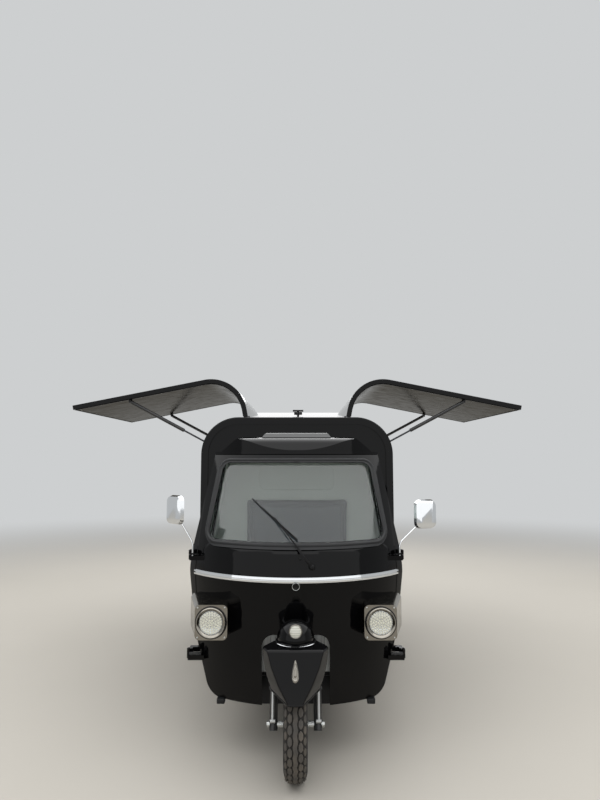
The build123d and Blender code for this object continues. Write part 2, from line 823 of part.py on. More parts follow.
# Chassis: two rails, cross members, bearers under the kiosk floor and the steering head
tray_top = rail_bottom + 2.0
pieces = []
for side in (1, -1):
    low = side * rail_x - rail_width / 2
    pieces.append(block((low, low + rail_width), (rail_front_y, rail_rear_y), (rail_bottom, rail_top)))
cross_members = [
    # half width, station, half depth, low, high
    (398.0, -1308.0, 20.0, rail_bottom, rail_top),
    (260.0, -520.0, 30.0, rail_bottom, rail_top),
    (260.0, -60.0, 20.0, rail_bottom - 20.0, tray_top),
    (260.0, -360.0, 20.0, rail_bottom - 20.0, tray_top),
    (260.0, 950.0, 25.0, rail_bottom, rail_top),
    (610.0, -430.0, 25.0, floor_top - floor_thickness - 60.0, floor_top - floor_thickness),
    (610.0, 140.0, 20.0, floor_top - floor_thickness - 60.0, floor_top - floor_thickness),
    (610.0, 760.0, 20.0, floor_top - floor_thickness - 60.0, floor_top - floor_thickness),
    (610.0, 1080.0, 25.0, floor_top - floor_thickness - 60.0, floor_top - floor_thickness),
]
for half, station, depth, low, high in cross_members:
    pieces.append(block((-half, half), (station - depth, station + depth), (low, high)))
for side in (1, -1):
    for station in (-430.0, 140.0, 760.0, 1080.0):
        low = side * rail_x - rail_width / 2
        leg_heights = (rail_top - 2, floor_top - floor_thickness - 50)
        leg = block((low, low + rail_width), (station - 20, station + 20), leg_heights)
        pieces.append(leg)
    for end in (-1, 1):
        station = rear_axle_y + end * spring_half_length
        inner = rail_x + rail_width / 2 - 2.0
        hanger_heights = (spring_foot + spring_rise + 8.0, rail_top)
        hanger = block((inner, spring_x + leaf_width / 2), (station - 15, station + 15), hanger_heights)
        pieces.append(hanger if side > 0 else mirrored(hanger))
    pieces.append(rod((side * 388, -1310, 236), (side * 388, -1310, rail_bottom + 4), 14.0))
head_gusset = outline(
    [(-1395.0, 690.0, 0.0), (-1300.0, 640.0, 0.0), (-1300.0, 765.0, 0.0), (-1355.0, 765.0, 0.0)]
)
head_tube = rod(steering_point(head_tube_start), steering_point(head_tube_end), head_tube_radius)
pieces.append(post)
pieces.append(along_x(head_gusset, -20, 20))
pieces.append(head_tube)
chassis = pieces[0].fuse(*pieces[1:]) - rod(steering_point(0), steering_point(900), column_radius + 0.5)
save("chassis_frame", chassis)
save("battery_pack", block((-215, 215), (-400, -20), (tray_top, tray_top + 180)))

# Kiosk floor, skirts and rear mudguards
floor_bottom = floor_top - floor_thickness
kiosk_floor = block((-box_half_width, box_half_width), (cab_back_y, box_rear_y), (floor_bottom, floor_top))
save("kiosk_floor", kiosk_floor)
arch_radius = tyre_radius + 52.0
skirts = []
for side in (1, -1):
    outer = side * box_half_width
    inner = side * (box_half_width - skirt_thickness)
    skirt = block(sorted((inner, outer)), (box_front_y, box_rear_y), (skirt_bottom, floor_bottom))
    arch = rod((side * 500, rear_axle_y, axle_z), (side * 700, rear_axle_y, axle_z), arch_radius - 6.0)
    skirts.append(skirt - arch)
valance_reach = box_half_width - skirt_thickness
valance = block(
    (-valance_reach, valance_reach), (box_rear_y - skirt_thickness, box_rear_y), (380, floor_bottom)
)
kiosk_skirts = skirts[0] + valance + skirts[1]
save("kiosk_skirts", kiosk_skirts)
guards = []
for side in (1, -1):
    inner = side * (rear_track / 2 - tyre_half - 24.0)
    outer = side * (box_half_width - skirt_thickness)
    tube = rod((inner, rear_axle_y, axle_z), (outer, rear_axle_y, axle_z), arch_radius)
    bore = rod((inner, rear_axle_y, axle_z), (outer, rear_axle_y, axle_z), arch_radius - 5.0)
    above = block((-700, 700), (rear_axle_y - 400, rear_axle_y + 400), (skirt_bottom, floor_bottom))
    guards.append((tube - bore) & above)
save("rear_mudguards", *guards)

# Kiosk hoops, roof strip and counters


def box_view(inset, foot):
    """Front view of the kiosk body, drawn in by an inset, from its foot up."""
    return outline(
        both_sides(
            [
                (box_half_width - inset, foot, 0.0),
                (box_half_width - inset, box_top - inset, box_corner_radius - inset),
            ]
        )
    )


hoop_front_end = box_front_y + hoop_depth
hoop_rear_start = box_rear_y - hoop_depth
kiosk_front = along_y(box_view(0.0, floor_top), box_front_y, hoop_front_end)
front_rim_edges = kiosk_front.edges().filter_by(
    lambda edge: abs(edge.center().Y - box_front_y) < 0.01 and edge.center().Z > floor_top + 1
)
kiosk_front = fillet(front_rim_edges, 10)
kiosk_front = kiosk_front - along_y(box_view(hoop_rim, 0.0), box_front_y - 1, box_front_y + hoop_recess)
pocket = outline(both_sides([(450.0, floor_top + 40.0, 30.0), (450.0, 1620.0, 60.0)]))
kiosk_front = kiosk_front - along_y(pocket, hoop_front_end - 36.0, hoop_front_end + 1)

kiosk_rear = along_y(box_view(0.0, floor_top), hoop_rear_start, box_rear_y)
rear_rim_edges = kiosk_rear.edges().filter_by(
    lambda edge: abs(edge.center().Y - box_rear_y) < 0.01 and edge.center().Z > floor_top + 1
)
kiosk_rear = fillet(rear_rim_edges, 10)
opening_view = outline(
    both_sides(
        [
            (hatch_opening_half_width, hatch_opening_bottom, 40.0),
            (hatch_opening_half_width, hatch_opening_top, 150.0),
        ]
    )
)
kiosk_rear = kiosk_rear - along_y(opening_view, hoop_rear_start - 1, box_rear_y + 1)

# Gull-wing sides: hinged along the roof, each one panel over the roof corner and the side
wing_hinge_z = box_top + 7.0
wing_edge_x = roof_half_width + 3.5
wing_bottom = floor_top + panel_gap
wing_start = hoop_front_end + panel_gap
wing_end = hoop_rear_start - panel_gap
wing_inner_x = box_half_width - panel_thickness
wing_pin_x = wing_inner_x - 14.0
wing_pin_z = 942.0
body_pin_x = 530.0
body_pin_z = 1510.0
pin_inset = 40.0
strut_stations = (hoop_front_end + pin_inset, hoop_rear_start - pin_inset)
wing_view = outline(
    [
        (wing_edge_x, box_top, 0.0),
        (box_half_width, box_top, box_corner_radius),
        (box_half_width, wing_bottom, 0.0),
        (wing_inner_x, wing_bottom, 0.0),
        (wing_inner_x, box_top - panel_thickness, box_corner_radius - panel_thickness),
        (wing_edge_x, box_top - panel_thickness, 0.0),
    ]
)
wing = along_y(wing_view, wing_start, wing_end)
for station in strut_stations:
    lug = block(
        (wing_pin_x - 9, wing_inner_x + 1),
        (station + 14, station + 20),
        (wing_pin_z - 12, wing_pin_z + 12),
    )
    stud_start = (wing_pin_x, station - 8, wing_pin_z)
    stud_end = (wing_pin_x, station + 16, wing_pin_z)
    stud = rod(stud_start, stud_end, strut_pin_radius)
    wing = wing + lug + stud


def turned_about(solid, station_point, axis_dir, angle):
    """A solid turned about an axis through a point."""
    return solid.rotate(Axis(station_point, axis_dir), angle)


wing_hinge = (roof_half_width + 1.0, 0.0, wing_hinge_z)
wing_left = turned_about(wing, wing_hinge, (0, -1, 0), wing_open_angle)
save("wing_left", wing_left)
save("wing_right", mirrored(wing_left))

roof_strip = block(
    (-roof_half_width, roof_half_width),
    (hoop_front_end, hoop_rear_start),
    (box_top - panel_thickness, box_top),
)
for side in (1, -1):
    flap = block(
        sorted((side * (roof_half_width - 22), side * (roof_half_width + 1))),
        (wing_start, wing_end),
        (box_top, box_top + 5),
    )
    hinge_x = side * wing_hinge[0]
    barrel = rod((hinge_x, wing_start, wing_hinge_z), (hinge_x, wing_end, wing_hinge_z), hinge_barrel_radius)
    roof_strip = roof_strip + flap + barrel
save("kiosk_roof", roof_strip)


# Struts: a tube with a bore pinned to the panel, and a rod pinned to the body
def strut(panel_pin, body_pin, tube_length, across):
    """Tube, pinned to the panel, and rod, with its socket beside the body's stud, of one gas strut."""
    start = Vector(*panel_pin)
    end = Vector(*body_pin)
    line = (end - start).normalized()
    open_length = (end - start).length
    eye_plane = Plane(start, z_dir=across)
    tube = rod(start + line * 11, start + line * tube_length, strut_tube_radius)
    eye = eye_plane * extrude(Circle(9.0), eye_half_width, both=True)
    neck = rod(start, start + line * 20, 4.5)
    bore = rod(start + line * 30, start + line * (tube_length + 1), strut_bore_radius)
    pin_hole = eye_plane * extrude(Circle(strut_pin_radius + 0.3), 8.0, both=True)
    tube = (tube + neck + eye) - bore - pin_hole
    rod_plane = Plane(end, z_dir=across)
    rod_reach = open_length - tube_length + 24.0
    shaft = rod(end - line * 8, end - line * rod_reach, strut_rod_radius)
    socket = rod_plane * extrude(Circle(9.0), eye_half_width, both=True)
    return tube, shaft + socket


def opened(across, up, hinge, angle, sense):
    """Where a point goes when its panel is raised about the hinge, in a front or side view."""
    turn = math.radians(angle) * sense
    dx = across - hinge[0]
    dz = up - hinge[1]
    return (
        hinge[0] + dx * math.cos(turn) - dz * math.sin(turn),
        hinge[1] + dx * math.sin(turn) + dz * math.cos(turn),
    )


wing_tube_length = 430.0
open_pin = opened(wing_pin_x, wing_pin_z, (wing_hinge[0], wing_hinge_z), wing_open_angle, 1)
wing_tubes = []
wing_rods = []
for station in strut_stations:
    tube, shaft = strut(
        (open_pin[0], station, open_pin[1]), (body_pin_x, station, body_pin_z), wing_tube_length, (0, 1, 0)
    )
    wing_tubes.append(tube)
    wing_rods.append(shaft)
save("wing_left_strut_tubes", *wing_tubes)
save("wing_left_strut_rods", *wing_rods)
save("wing_right_strut_tubes", *[mirrored(tube) for tube in wing_tubes])
save("wing_right_strut_rods", *[mirrored(shaft) for shaft in wing_rods])

for side in (1, -1):
    pin_x = side * body_pin_x
    front_root = (pin_x, hoop_front_end - 2, body_pin_z)
    front_tip = (pin_x, strut_stations[0] - eye_half_width - stud_gap, body_pin_z)
    rear_root = (pin_x, hoop_rear_start + 2, body_pin_z)
    rear_tip = (pin_x, strut_stations[1] + eye_half_width + stud_gap, body_pin_z)
    kiosk_front = kiosk_front + rod(front_root, front_tip, strut_pin_radius)
    kiosk_rear = kiosk_rear + rod(rear_root, rear_tip, strut_pin_radius)
save("kiosk_front", kiosk_front)

# Rear hatch: hinged under the rear roof edge, with two struts to the opening's sides
hatch_y = box_rear_y + panel_gap
hatch_hinge = (box_rear_y + 8.0, 1702.0)
hatch_top = hatch_hinge[1] - 12.0
hatch_view = outline(
    both_sides([(hatch_half_width, hatch_bottom, 50.0), (hatch_half_width, hatch_top, 190.0)])
)
hatch = along_y(hatch_view, hatch_y, hatch_y + panel_thickness)
hatch_pin_x = hatch_opening_half_width - 22.0
hatch_pin = (hatch_y - 16.0, hatch_hinge[1] - 180.0)
hatch_body_pin = (box_rear_y - 45.0, 1100.0)
knuckle_spans = [(-250.0, -100.3, 1), (-100.0, 100.0, 0), (100.3, 250.0, 1)]
for low, high, on_hatch in knuckle_spans:
    barrel = rod((low, *hatch_hinge), (high, *hatch_hinge), hinge_barrel_radius)
    if on_hatch:
        leaf = block((low, high), (hatch_y, hatch_y + 6), (hatch_top - 2, hatch_hinge[1]))
        hatch = hatch + barrel + leaf
    else:
        leaf = block((low, high), (box_rear_y - 1, hatch_hinge[0]), (hatch_hinge[1] - 3, hatch_hinge[1] + 3))
        kiosk_rear = kiosk_rear + barrel + leaf
for side in (1, -1):
    base = side * hatch_pin_x
    lug_width = sorted((base - side * 20, base - side * 14))
    lug = block(lug_width, (hatch_pin[0] - 10, hatch_y + 1), (hatch_pin[1] - 10, hatch_pin[1] + 10))
    stud = rod((base - side * 16, *hatch_pin), (base + side * 8, *hatch_pin), strut_pin_radius)
    hatch = hatch + lug + stud
    jamb_x = side * (hatch_opening_half_width + 4)
    stud_x = base + side * (eye_half_width + stud_gap)
    jamb_pin = rod((stud_x, *hatch_body_pin), (jamb_x, *hatch_body_pin), strut_pin_radius)
    kiosk_rear = kiosk_rear + jamb_pin
hatch_face_y = hatch_y + panel_thickness
latch = block(
    (-42, 42), (hatch_face_y - 1, hatch_face_y + 16), (hatch_bottom + 22, hatch_bottom + 40)
)
hatch = hatch + fillet(latch.edges().filter_by(Axis.X), 4)
hatch = turned_about(hatch, (0, *hatch_hinge), (1, 0, 0), hatch_open_angle)
save("rear_hatch", hatch)
save("kiosk_rear", kiosk_rear)

hatch_tube_length = 355.0
open_hatch_pin = opened(*hatch_pin, hatch_hinge, hatch_open_angle, 1)
hatch_tubes = []
hatch_rods = []
for side in (1, -1):
    tube, shaft = strut(
        (side * hatch_pin_x, *open_hatch_pin),
        (side * hatch_pin_x, *hatch_body_pin),
        hatch_tube_length,
        (1, 0, 0),
    )
    hatch_tubes.append(tube)
    hatch_rods.append(shaft)
save("hatch_strut_tubes", *hatch_tubes)
save("hatch_strut_rods", *hatch_rods)

# Serving counters: a top along each side, its outer panel and a middle divider
counter_view = outline(
    [
        (counter_inner_x, counter_height, 0.0),
        (counter_outer_x, counter_height, 0.0),
        (counter_outer_x, floor_top, 0.0),
        (counter_outer_x - counter_thickness, floor_top, 0.0),
        (counter_outer_x - counter_thickness, counter_height - counter_thickness, 0.0),
        (counter_inner_x, counter_height - counter_thickness, 0.0),
    ]
)
counter = along_y(counter_view, hoop_front_end, hoop_rear_start)
divider = block(
    (counter_inner_x + 20, counter_outer_x - 5), (322, 340), (floor_top, counter_height - 5)
)
counter = counter + divider
save("serving_counters", counter, mirrored(counter))

# Tail lamps and rear bumper
tail_lamp = block((530, 600), (box_rear_y, box_rear_y + 26), (660, 820))
tail_lamp = fillet(tail_lamp.edges().filter_by(Axis.Y), 14)
save("tail_lamps", tail_lamp, mirrored(tail_lamp))
bumper_path = [
    (-560, box_rear_y + 20, 420),
    (-530, box_rear_y + 60, 420),
    (530, box_rear_y + 60, 420),
    (560, box_rear_y + 20, 420),
]
bumper = bent_bar(bumper_path, 30.0, 20.0)
for side in (1, -1):
    arm_x = side * rail_x
    arm = block((arm_x - 20, arm_x + 20), (rail_rear_y, box_rear_y + 64), (310, 340))
    upright = block((arm_x - 20, arm_x + 20), (box_rear_y + 44, box_rear_y + 76), (310, 420))
    bumper = bumper + arm + upright
save("rear_bumper", bumper)
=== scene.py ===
import json
import math

import bpy
from mathutils import Matrix, Vector

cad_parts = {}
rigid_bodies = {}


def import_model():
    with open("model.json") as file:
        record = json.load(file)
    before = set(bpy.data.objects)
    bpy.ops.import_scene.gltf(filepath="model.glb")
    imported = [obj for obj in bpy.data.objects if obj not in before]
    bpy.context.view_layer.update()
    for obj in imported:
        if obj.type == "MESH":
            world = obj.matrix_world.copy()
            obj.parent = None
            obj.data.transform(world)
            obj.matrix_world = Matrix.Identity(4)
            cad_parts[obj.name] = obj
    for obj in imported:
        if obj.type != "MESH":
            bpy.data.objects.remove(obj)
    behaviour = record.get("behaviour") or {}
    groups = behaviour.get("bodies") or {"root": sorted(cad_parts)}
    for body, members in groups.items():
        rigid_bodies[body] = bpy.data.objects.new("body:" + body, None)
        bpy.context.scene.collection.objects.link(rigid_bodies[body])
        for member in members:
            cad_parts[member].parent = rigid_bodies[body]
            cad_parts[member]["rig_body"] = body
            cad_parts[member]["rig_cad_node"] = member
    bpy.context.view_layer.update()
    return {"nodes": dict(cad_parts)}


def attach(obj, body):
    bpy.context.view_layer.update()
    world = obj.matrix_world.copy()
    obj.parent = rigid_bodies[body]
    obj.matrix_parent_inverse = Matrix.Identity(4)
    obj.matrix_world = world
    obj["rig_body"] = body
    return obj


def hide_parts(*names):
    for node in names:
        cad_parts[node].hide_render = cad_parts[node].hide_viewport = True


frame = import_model()

MM = 0.001
ALONG_X = Vector((1, 0, 0))
ALONG_Y = Vector((0, 1, 0))
ALONG_Z = Vector((0, 0, 1))

# Places repeated from the part's source, in metres
nose_radius = 0.691
nose_profile = [
    # height, how far forward the middle of the nose stands
    (0.200, -1.482),
    (0.600, -1.520),
    (0.863, -1.540),
    (0.985, -1.527),
    (1.475, -1.190),
]
side_profile = [
    # height, half width of the cab's side
    (0.258, 0.4400),
    (0.540, 0.5222),
    (0.580, 0.5306),
    (0.827, 0.5625),
    (0.870, 0.5649),
    (0.913, 0.5612),
    (1.475, 0.4720),
]
front_axle = Vector((0, -1.620, 0.233))
rear_axles = {"left": Vector((0.520, 0.450, 0.233)), "right": Vector((-0.520, 0.450, 0.233))}
steering_tilt = math.radians(22)
lamp_centre = Vector((0.411, -1.520, 0.660))
wing_hinge = Vector((0.331, 0, 1.737))
wing_angle = math.radians(78.8)
hatch_hinge = Vector((0, 1.138, 1.702))
hatch_angle = math.radians(106)
hatch_inner = 1.1350


# Making pieces


def ready():
    """Leaves edit mode with nothing selected."""
    if bpy.context.mode != "OBJECT":
        bpy.ops.object.mode_set(mode="OBJECT")
    bpy.ops.object.select_all(action="DESELECT")


def only(piece):
    """Selects one piece alone and makes it active."""
    ready()
    piece.select_set(True)
    bpy.context.view_layer.objects.active = piece


def pick(piece, kind, test):
    """Enters edit mode on a piece with those of its points, edges or faces selected that pass a test."""
    only(piece)
    bpy.context.scene.tool_settings.mesh_select_mode = (kind == "VERT", kind == "EDGE", kind == "FACE")
    bpy.ops.object.mode_set(mode="EDIT")
    bpy.ops.mesh.select_all(action="DESELECT")
    bpy.ops.object.mode_set(mode="OBJECT")
    members = {"VERT": piece.data.vertices, "EDGE": piece.data.edges, "FACE": piece.data.polygons}[kind]
    for member in members:
        member.select = bool(test(member))
    bpy.ops.object.mode_set(mode="EDIT")


def whole(piece):
    """Enters edit mode on a piece with all of it selected."""
    only(piece)
    bpy.context.scene.tool_settings.mesh_select_mode = (True, False, False)
    bpy.ops.object.mode_set(mode="EDIT")
    bpy.ops.mesh.select_all(action="SELECT")


def span(piece, edge):
    """How far an edge runs along each direction."""
    start, end = (piece.data.vertices[index].co for index in edge.vertices)
    return Vector([abs(value) for value in end - start])


def settle(piece):
    """Puts a piece's place, turn and size into its mesh."""
    only(piece)
    bpy.ops.object.transform_apply(location=True, rotation=True, scale=True)
    return piece


def shape(piece, kind, **settings):
    """Adds one modifier with its settings and applies it."""
    only(piece)
    modifier = piece.modifiers.new(kind.lower(), kind)
    for name, value in settings.items():
        setattr(modifier, name, value)
    bpy.ops.object.modifier_apply(modifier=modifier.name)
    return piece


def ease_edges(piece, width, angle, segments=2):
    """Bevels a piece's edges that turn by more than an angle."""
    limit = math.radians(angle)
    return shape(piece, "BEVEL", width=width, segments=segments, limit_method="ANGLE", angle_limit=limit)


def mend(piece, distance=0.00002):
    """Merges a mesh's doubles and turns its faces outwards."""
    whole(piece)
    bpy.ops.mesh.remove_doubles(threshold=distance)
    bpy.ops.mesh.normals_make_consistent(inside=False)
    ready()
    return piece


def block(x, y, z, edge=0.0, segments=2):
    """A bevelled block between its low and high corners."""
    ready()
    middle = [(low + high) / 2 for low, high in (x, y, z)]
    size = [high - low for low, high in (x, y, z)]
    bpy.ops.mesh.primitive_cube_add(size=1, location=middle, scale=size)
    piece = settle(bpy.context.object)
    if edge:
        shape(piece, "BEVEL", width=edge, segments=segments, limit_method="NONE")
    return piece


def turned(centre, direction, rows, sides=32):
    """A turned piece: a ring is extruded through rows of distance along its axis and radius, in mm."""
    ready()
    rows = [(along * MM, max(wide * MM, 1e-6)) for along, wide in rows]
    start, radius = rows[0]
    bpy.ops.mesh.primitive_circle_add(vertices=sides, radius=radius, location=(0, 0, 0))
    piece = bpy.context.object
    whole(piece)
    bpy.ops.transform.translate(value=(0, 0, start))
    for along, wide in rows[1:]:
        bpy.ops.mesh.extrude_region_move(TRANSFORM_OT_translate={"value": (0, 0, along - start)})
        bpy.ops.transform.resize(value=(wide / radius, wide / radius, 1), center_override=(0, 0, along))
        start, radius = along, wide
    ready()
    turn = Vector(direction).to_track_quat("Z", "Y").to_matrix().to_4x4()
    piece.matrix_world = Matrix.Translation(centre) @ turn
    return mend(settle(piece))


def round_bar(path, radius, sides, closed):
    """A round bar with its middle on a path."""
    ready()
    bpy.ops.curve.primitive_nurbs_path_add(location=(0, 0, 0))
    line = bpy.context.object
    line.data.splines.clear()
    spline = line.data.splines.new("POLY")
    spline.points.add(len(path) - 1)
    for point, place in zip(spline.points, path):
        point.co = (*place, 1)
    spline.use_cyclic_u = closed
    line.data.dimensions = "3D"
    line.data.bevel_depth = radius
    line.data.bevel_resolution = sides
    line.data.use_fill_caps = not closed
    bpy.ops.object.convert(target="MESH")
    return mend(bpy.context.object)


def tube(points, radius, bend=0.0, sides=4):
    """A round bar along straight runs, with its corners bent."""
    points = [Vector(point) for point in points]
    path = points[:1]
    for before, corner, after in zip(points, points[1:], points[2:]):
        back = (before - corner).normalized() * min(bend, (before - corner).length * 0.45)
        on = (after - corner).normalized() * min(bend, (after - corner).length * 0.45)
        for share in (0.0, 0.15, 0.35, 0.65, 0.85, 1.0):
            path.append((corner + back * (1 - share)).lerp(corner + on * share, share))
    return round_bar(path + points[-1:], radius, sides, closed=False)


def loop_tube(points, radius, sides=4):
    """A round bar that closes on itself through its points."""
    return round_bar(points, radius, sides, closed=True)


def arc(middle, start, end, steps):
    """Points from a start to an end round a middle."""
    first, last = start - middle, end - middle
    ways = [first.slerp(last, index / steps).normalized() for index in range(steps + 1)]
    return [middle + way * first.length for way in ways]


def eased_corner(before, corner, after, steps):
    """The points that round a corner between two others: each is given as across, up, radius."""
    here, radius = Vector(corner[:2]), corner[2]
    if radius == 0:
        return [here]
    back = (Vector(before[:2]) - here).normalized()
    on = (Vector(after[:2]) - here).normalized()
    half = back.angle(on) / 2
    middle = here + (back + on).normalized() * (radius / math.sin(half))
    reach = radius / math.tan(half)
    return arc(middle, here + back * reach, here + on * reach, steps)


def rounded(corners, steps=6):
    """A closed outline with its corners rounded."""
    points = []
    for before, corner, after in zip(corners[-1:] + corners, corners, corners[1:] + corners[:1]):
        points += eased_corner(before, corner, after, steps)
    return points


def rounded_box(half_width, half_height, radius):
    """A rounded rectangle about the middle."""
    signs = ((-1, -1), (1, -1), (1, 1), (-1, 1))
    return rounded([(x * half_width, y * half_height, radius) for x, y in signs])


def rounded_line(corners, steps, runs):
    """An open line with its inner corners rounded and each run divided."""
    points = [Vector(corners[0][:2])]
    for before, corner, after in zip(corners, corners[1:], corners[2:]):
        curve = eased_corner(before, corner, after, steps)
        points += [points[-1].lerp(curve[0], index / runs) for index in range(1, runs)]
        points += curve
    last = Vector(corners[-1][:2])
    return points + [points[-1].lerp(last, index / runs) for index in range(1, runs + 1)]


def quarter(across, up, radius):
    """A quarter circle about a middle, from its side up to its top."""
    angles = [math.pi / 2 * index / 8 for index in range(9)]
    return [(across + radius * math.cos(angle), up + radius * math.sin(angle)) for angle in angles]


def finely(points, step):
    """A closed outline with its long runs divided."""
    fine = []
    for here, there in zip(points, points[1:] + points[:1]):
        count = max(1, round((there - here).length / step))
        fine += [here.lerp(there, index / count) for index in range(count)]
    return fine


def plate(corners, thickness, direction, edge=0.0):
    """A flat plate: its outline is extruded by a thickness."""
    ready()
    bpy.ops.mesh.primitive_circle_add(vertices=len(corners), radius=1, fill_type="NGON")
    piece = bpy.context.object
    for vertex, corner in zip(piece.data.vertices, corners):
        vertex.co = corner
    whole(piece)
    step = Vector(direction).normalized() * thickness
    bpy.ops.mesh.extrude_region_move(TRANSFORM_OT_translate={"value": step})
    ready()
    mend(piece)
    return ease_edges(piece, edge, 40) if edge else piece


def skin(rows):
    """A skin through rows of points: a grid is added and each of its points is put in its place."""
    ready()
    bpy.ops.mesh.primitive_grid_add(x_subdivisions=len(rows[0]) - 1, y_subdivisions=len(rows) - 1, size=1)
    piece = bpy.context.object
    places = [place for row in rows for place in row]
    for vertex, place in zip(piece.data.vertices, places):
        vertex.co = place
    return piece


def sheet(rows, thickness, outward):
    """A skin through rows of points, thickened away from its outer face."""
    piece = mend(skin(rows))
    faces_out = piece.data.polygons[0].normal.dot(Vector(outward)) > 0
    return shape(piece, "SOLIDIFY", thickness=thickness, offset=-1.0 if faces_out else 1.0)


def twin(piece):
    """A copy of a piece with its own mesh."""
    copy = piece.copy()
    copy.data = piece.data.copy()
    bpy.context.scene.collection.objects.link(copy)
    return copy


def join(group):
    """Makes one piece of several."""
    ready()
    for piece in group:
        piece.select_set(True)
    bpy.context.view_layer.objects.active = group[0]
    if len(group) > 1:
        bpy.ops.object.join()
    return bpy.context.view_layer.objects.active


def repeat(piece, moves):
    """Copies a piece to each place, or by each matrix, and joins the copies."""
    group = []
    for move in moves:
        copy = twin(piece)
        copy.data.transform(move if isinstance(move, Matrix) else Matrix.Translation(move))
        group.append(copy)
    bpy.data.objects.remove(piece)
    return join(group)


def turn_about(piece, centre, axis, angle):
    """Turns a piece about an axis through a point."""
    move = Matrix.Translation(centre) @ Matrix.Rotation(angle, 4, axis) @ Matrix.Translation(-Vector(centre))
    piece.data.transform(move)
    return piece


def other_side(piece):
    """The same piece on the other side of the truck."""
    copy = twin(piece)
    copy.data.transform(Matrix.Scale(-1, 4, ALONG_X))
    return mend(copy)


def both_sides(piece):
    """A piece with its mirror image, as one."""
    return join([piece, other_side(piece)])


def done(piece, name, finish, angle=35, body="root"):
    """Names a piece, smooths it, gives it its finish and lets it ride on a body."""
    only(piece)
    bpy.ops.object.shade_smooth_by_angle(angle=math.radians(angle))
    piece.name = name
    piece.data.name = name
    piece.data.materials.clear()
    piece.data.materials.append(finish)
    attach(piece, body)
    return piece


def done_in_pairs(piece, part, name, finish, angle=35):
    """Finishes a left piece and its mirror image, each on its own side's wing or door."""
    other = other_side(piece)
    done(piece, f"{part}_left_{name}", finish, angle, f"{part}_left")
    done(other, f"{part}_right_{name}", finish, angle, f"{part}_right")


def between(table, at):
    """A value read between the rows of a table, and its slope there."""
    for (low, low_value), (high, high_value) in zip(table, table[1:]):
        if at <= high:
            break
    slope = (high_value - low_value) / (high - low)
    return low_value + slope * (at - low), slope


def nose_point(across, height, proud=0.0):
    """A point on the nose panel, or one that stands proud of it."""
    middle, slope = between(nose_profile, height)
    depth = math.sqrt(nose_radius**2 - across**2)
    outward = Vector((across / depth, -1, slope)).normalized()
    return Vector((across, middle + nose_radius - depth, height)) + outward * proud


def side_point(station, height, proud=0.0):
    """A point on the cab's left side, or one that stands proud of it."""
    half_width, slope = between(side_profile, height)
    outward = Vector((1, 0, -slope)).normalized()
    return Vector((half_width, station, height)) + outward * proud


# Finishes


def linear(code):
    """An sRGB hex colour as linear RGBA."""
    channels = [int(code[i : i + 2], 16) / 255 for i in (1, 3, 5)]
    return tuple(c / 12.92 if c <= 0.04045 else ((c + 0.055) / 1.055) ** 2.4 for c in channels) + (1.0,)


def add_node(tree, kind, inputs=None, **settings):
    """Adds one shader node with its inputs, links and settings. A node as an input is its first output."""
    node = tree.nodes.new("ShaderNode" + kind)
    for name, value in settings.items():
        setattr(node, name, value)
    for key, value in (inputs or {}).items():
        if isinstance(value, bpy.types.Node):
            value = value.outputs[0]
        if isinstance(value, bpy.types.NodeSocket):
            tree.links.new(value, node.inputs[key])
        else:
            node.inputs[key].default_value = value
    return node


def new_finish(name, values):
    """A material with its shader set, its node tree, and its object coordinates ready to use."""
    material = bpy.data.materials.new(name)
    material.use_nodes = True
    tree = material.node_tree
    tree.nodes.clear()
    shader = add_node(tree, "BsdfPrincipled", values, name="shader")
    add_node(tree, "OutputMaterial", {"Surface": shader}, name="output")
    return material, tree, add_node(tree, "TexCoord").outputs["Object"]


def drive(tree, pattern, tint=None, share=None, rough=None, relief=None):
    """Lets a pattern drive a finish.

    tint: its colours where the pattern is low and high, mixed by the pattern itself or by a share of it
    share, rough: a stretch of the pattern, and the amount or the roughness at both its ends
    relief: the strength and the depth of a bump
    """
    shader = tree.nodes["shader"]
    amount = pattern
    if share:
        amount = add_node(tree, "MapRange", {"Value": pattern, **dict(enumerate(share, 1))})
    if tint:
        low, high = tint
        colour = add_node(tree, "Mix", {0: amount, 6: linear(low), 7: linear(high)}, data_type="RGBA")
        tree.links.new(colour.outputs[2], shader.inputs["Base Color"])
    if rough:
        roughness = add_node(tree, "MapRange", {"Value": pattern, **dict(enumerate(rough, 1))})
        tree.links.new(roughness.outputs[0], shader.inputs["Roughness"])
    if relief:
        strength, depth = relief
        bump = add_node(tree, "Bump", {"Height": pattern, "Strength": strength, "Distance": depth})
        tree.links.new(bump.outputs[0], shader.inputs["Normal"])


def seen_directly(tree):
    """1 where the camera, a mirror or glass sees the studio, 0 for the light that falls on the truck."""
    path = add_node(tree, "LightPath").outputs
    bent = {0: path["Is Glossy Ray"], 1: path["Is Transmission Ray"]}
    bent = add_node(tree, "Math", bent, operation="MAXIMUM")
    return add_node(tree, "Math", {0: path["Is Camera Ray"], 1: bent}, operation="MAXIMUM")


def let_light_through(tree, cast):
    """Lets the lamps through a clear finish, with the colour that it casts."""
    path = add_node(tree, "LightPath").outputs
    passing = {0: path["Is Shadow Ray"], 1: path["Is Diffuse Ray"]}
    passing = add_node(tree, "Math", passing, operation="MAXIMUM")
    through = add_node(tree, "BsdfTransparent", {"Color": linear(cast)})
    mixed = add_node(tree, "MixShader", {0: passing, 1: tree.nodes["shader"], 2: through})
    tree.links.new(mixed.outputs[0], tree.nodes["output"].inputs["Surface"])


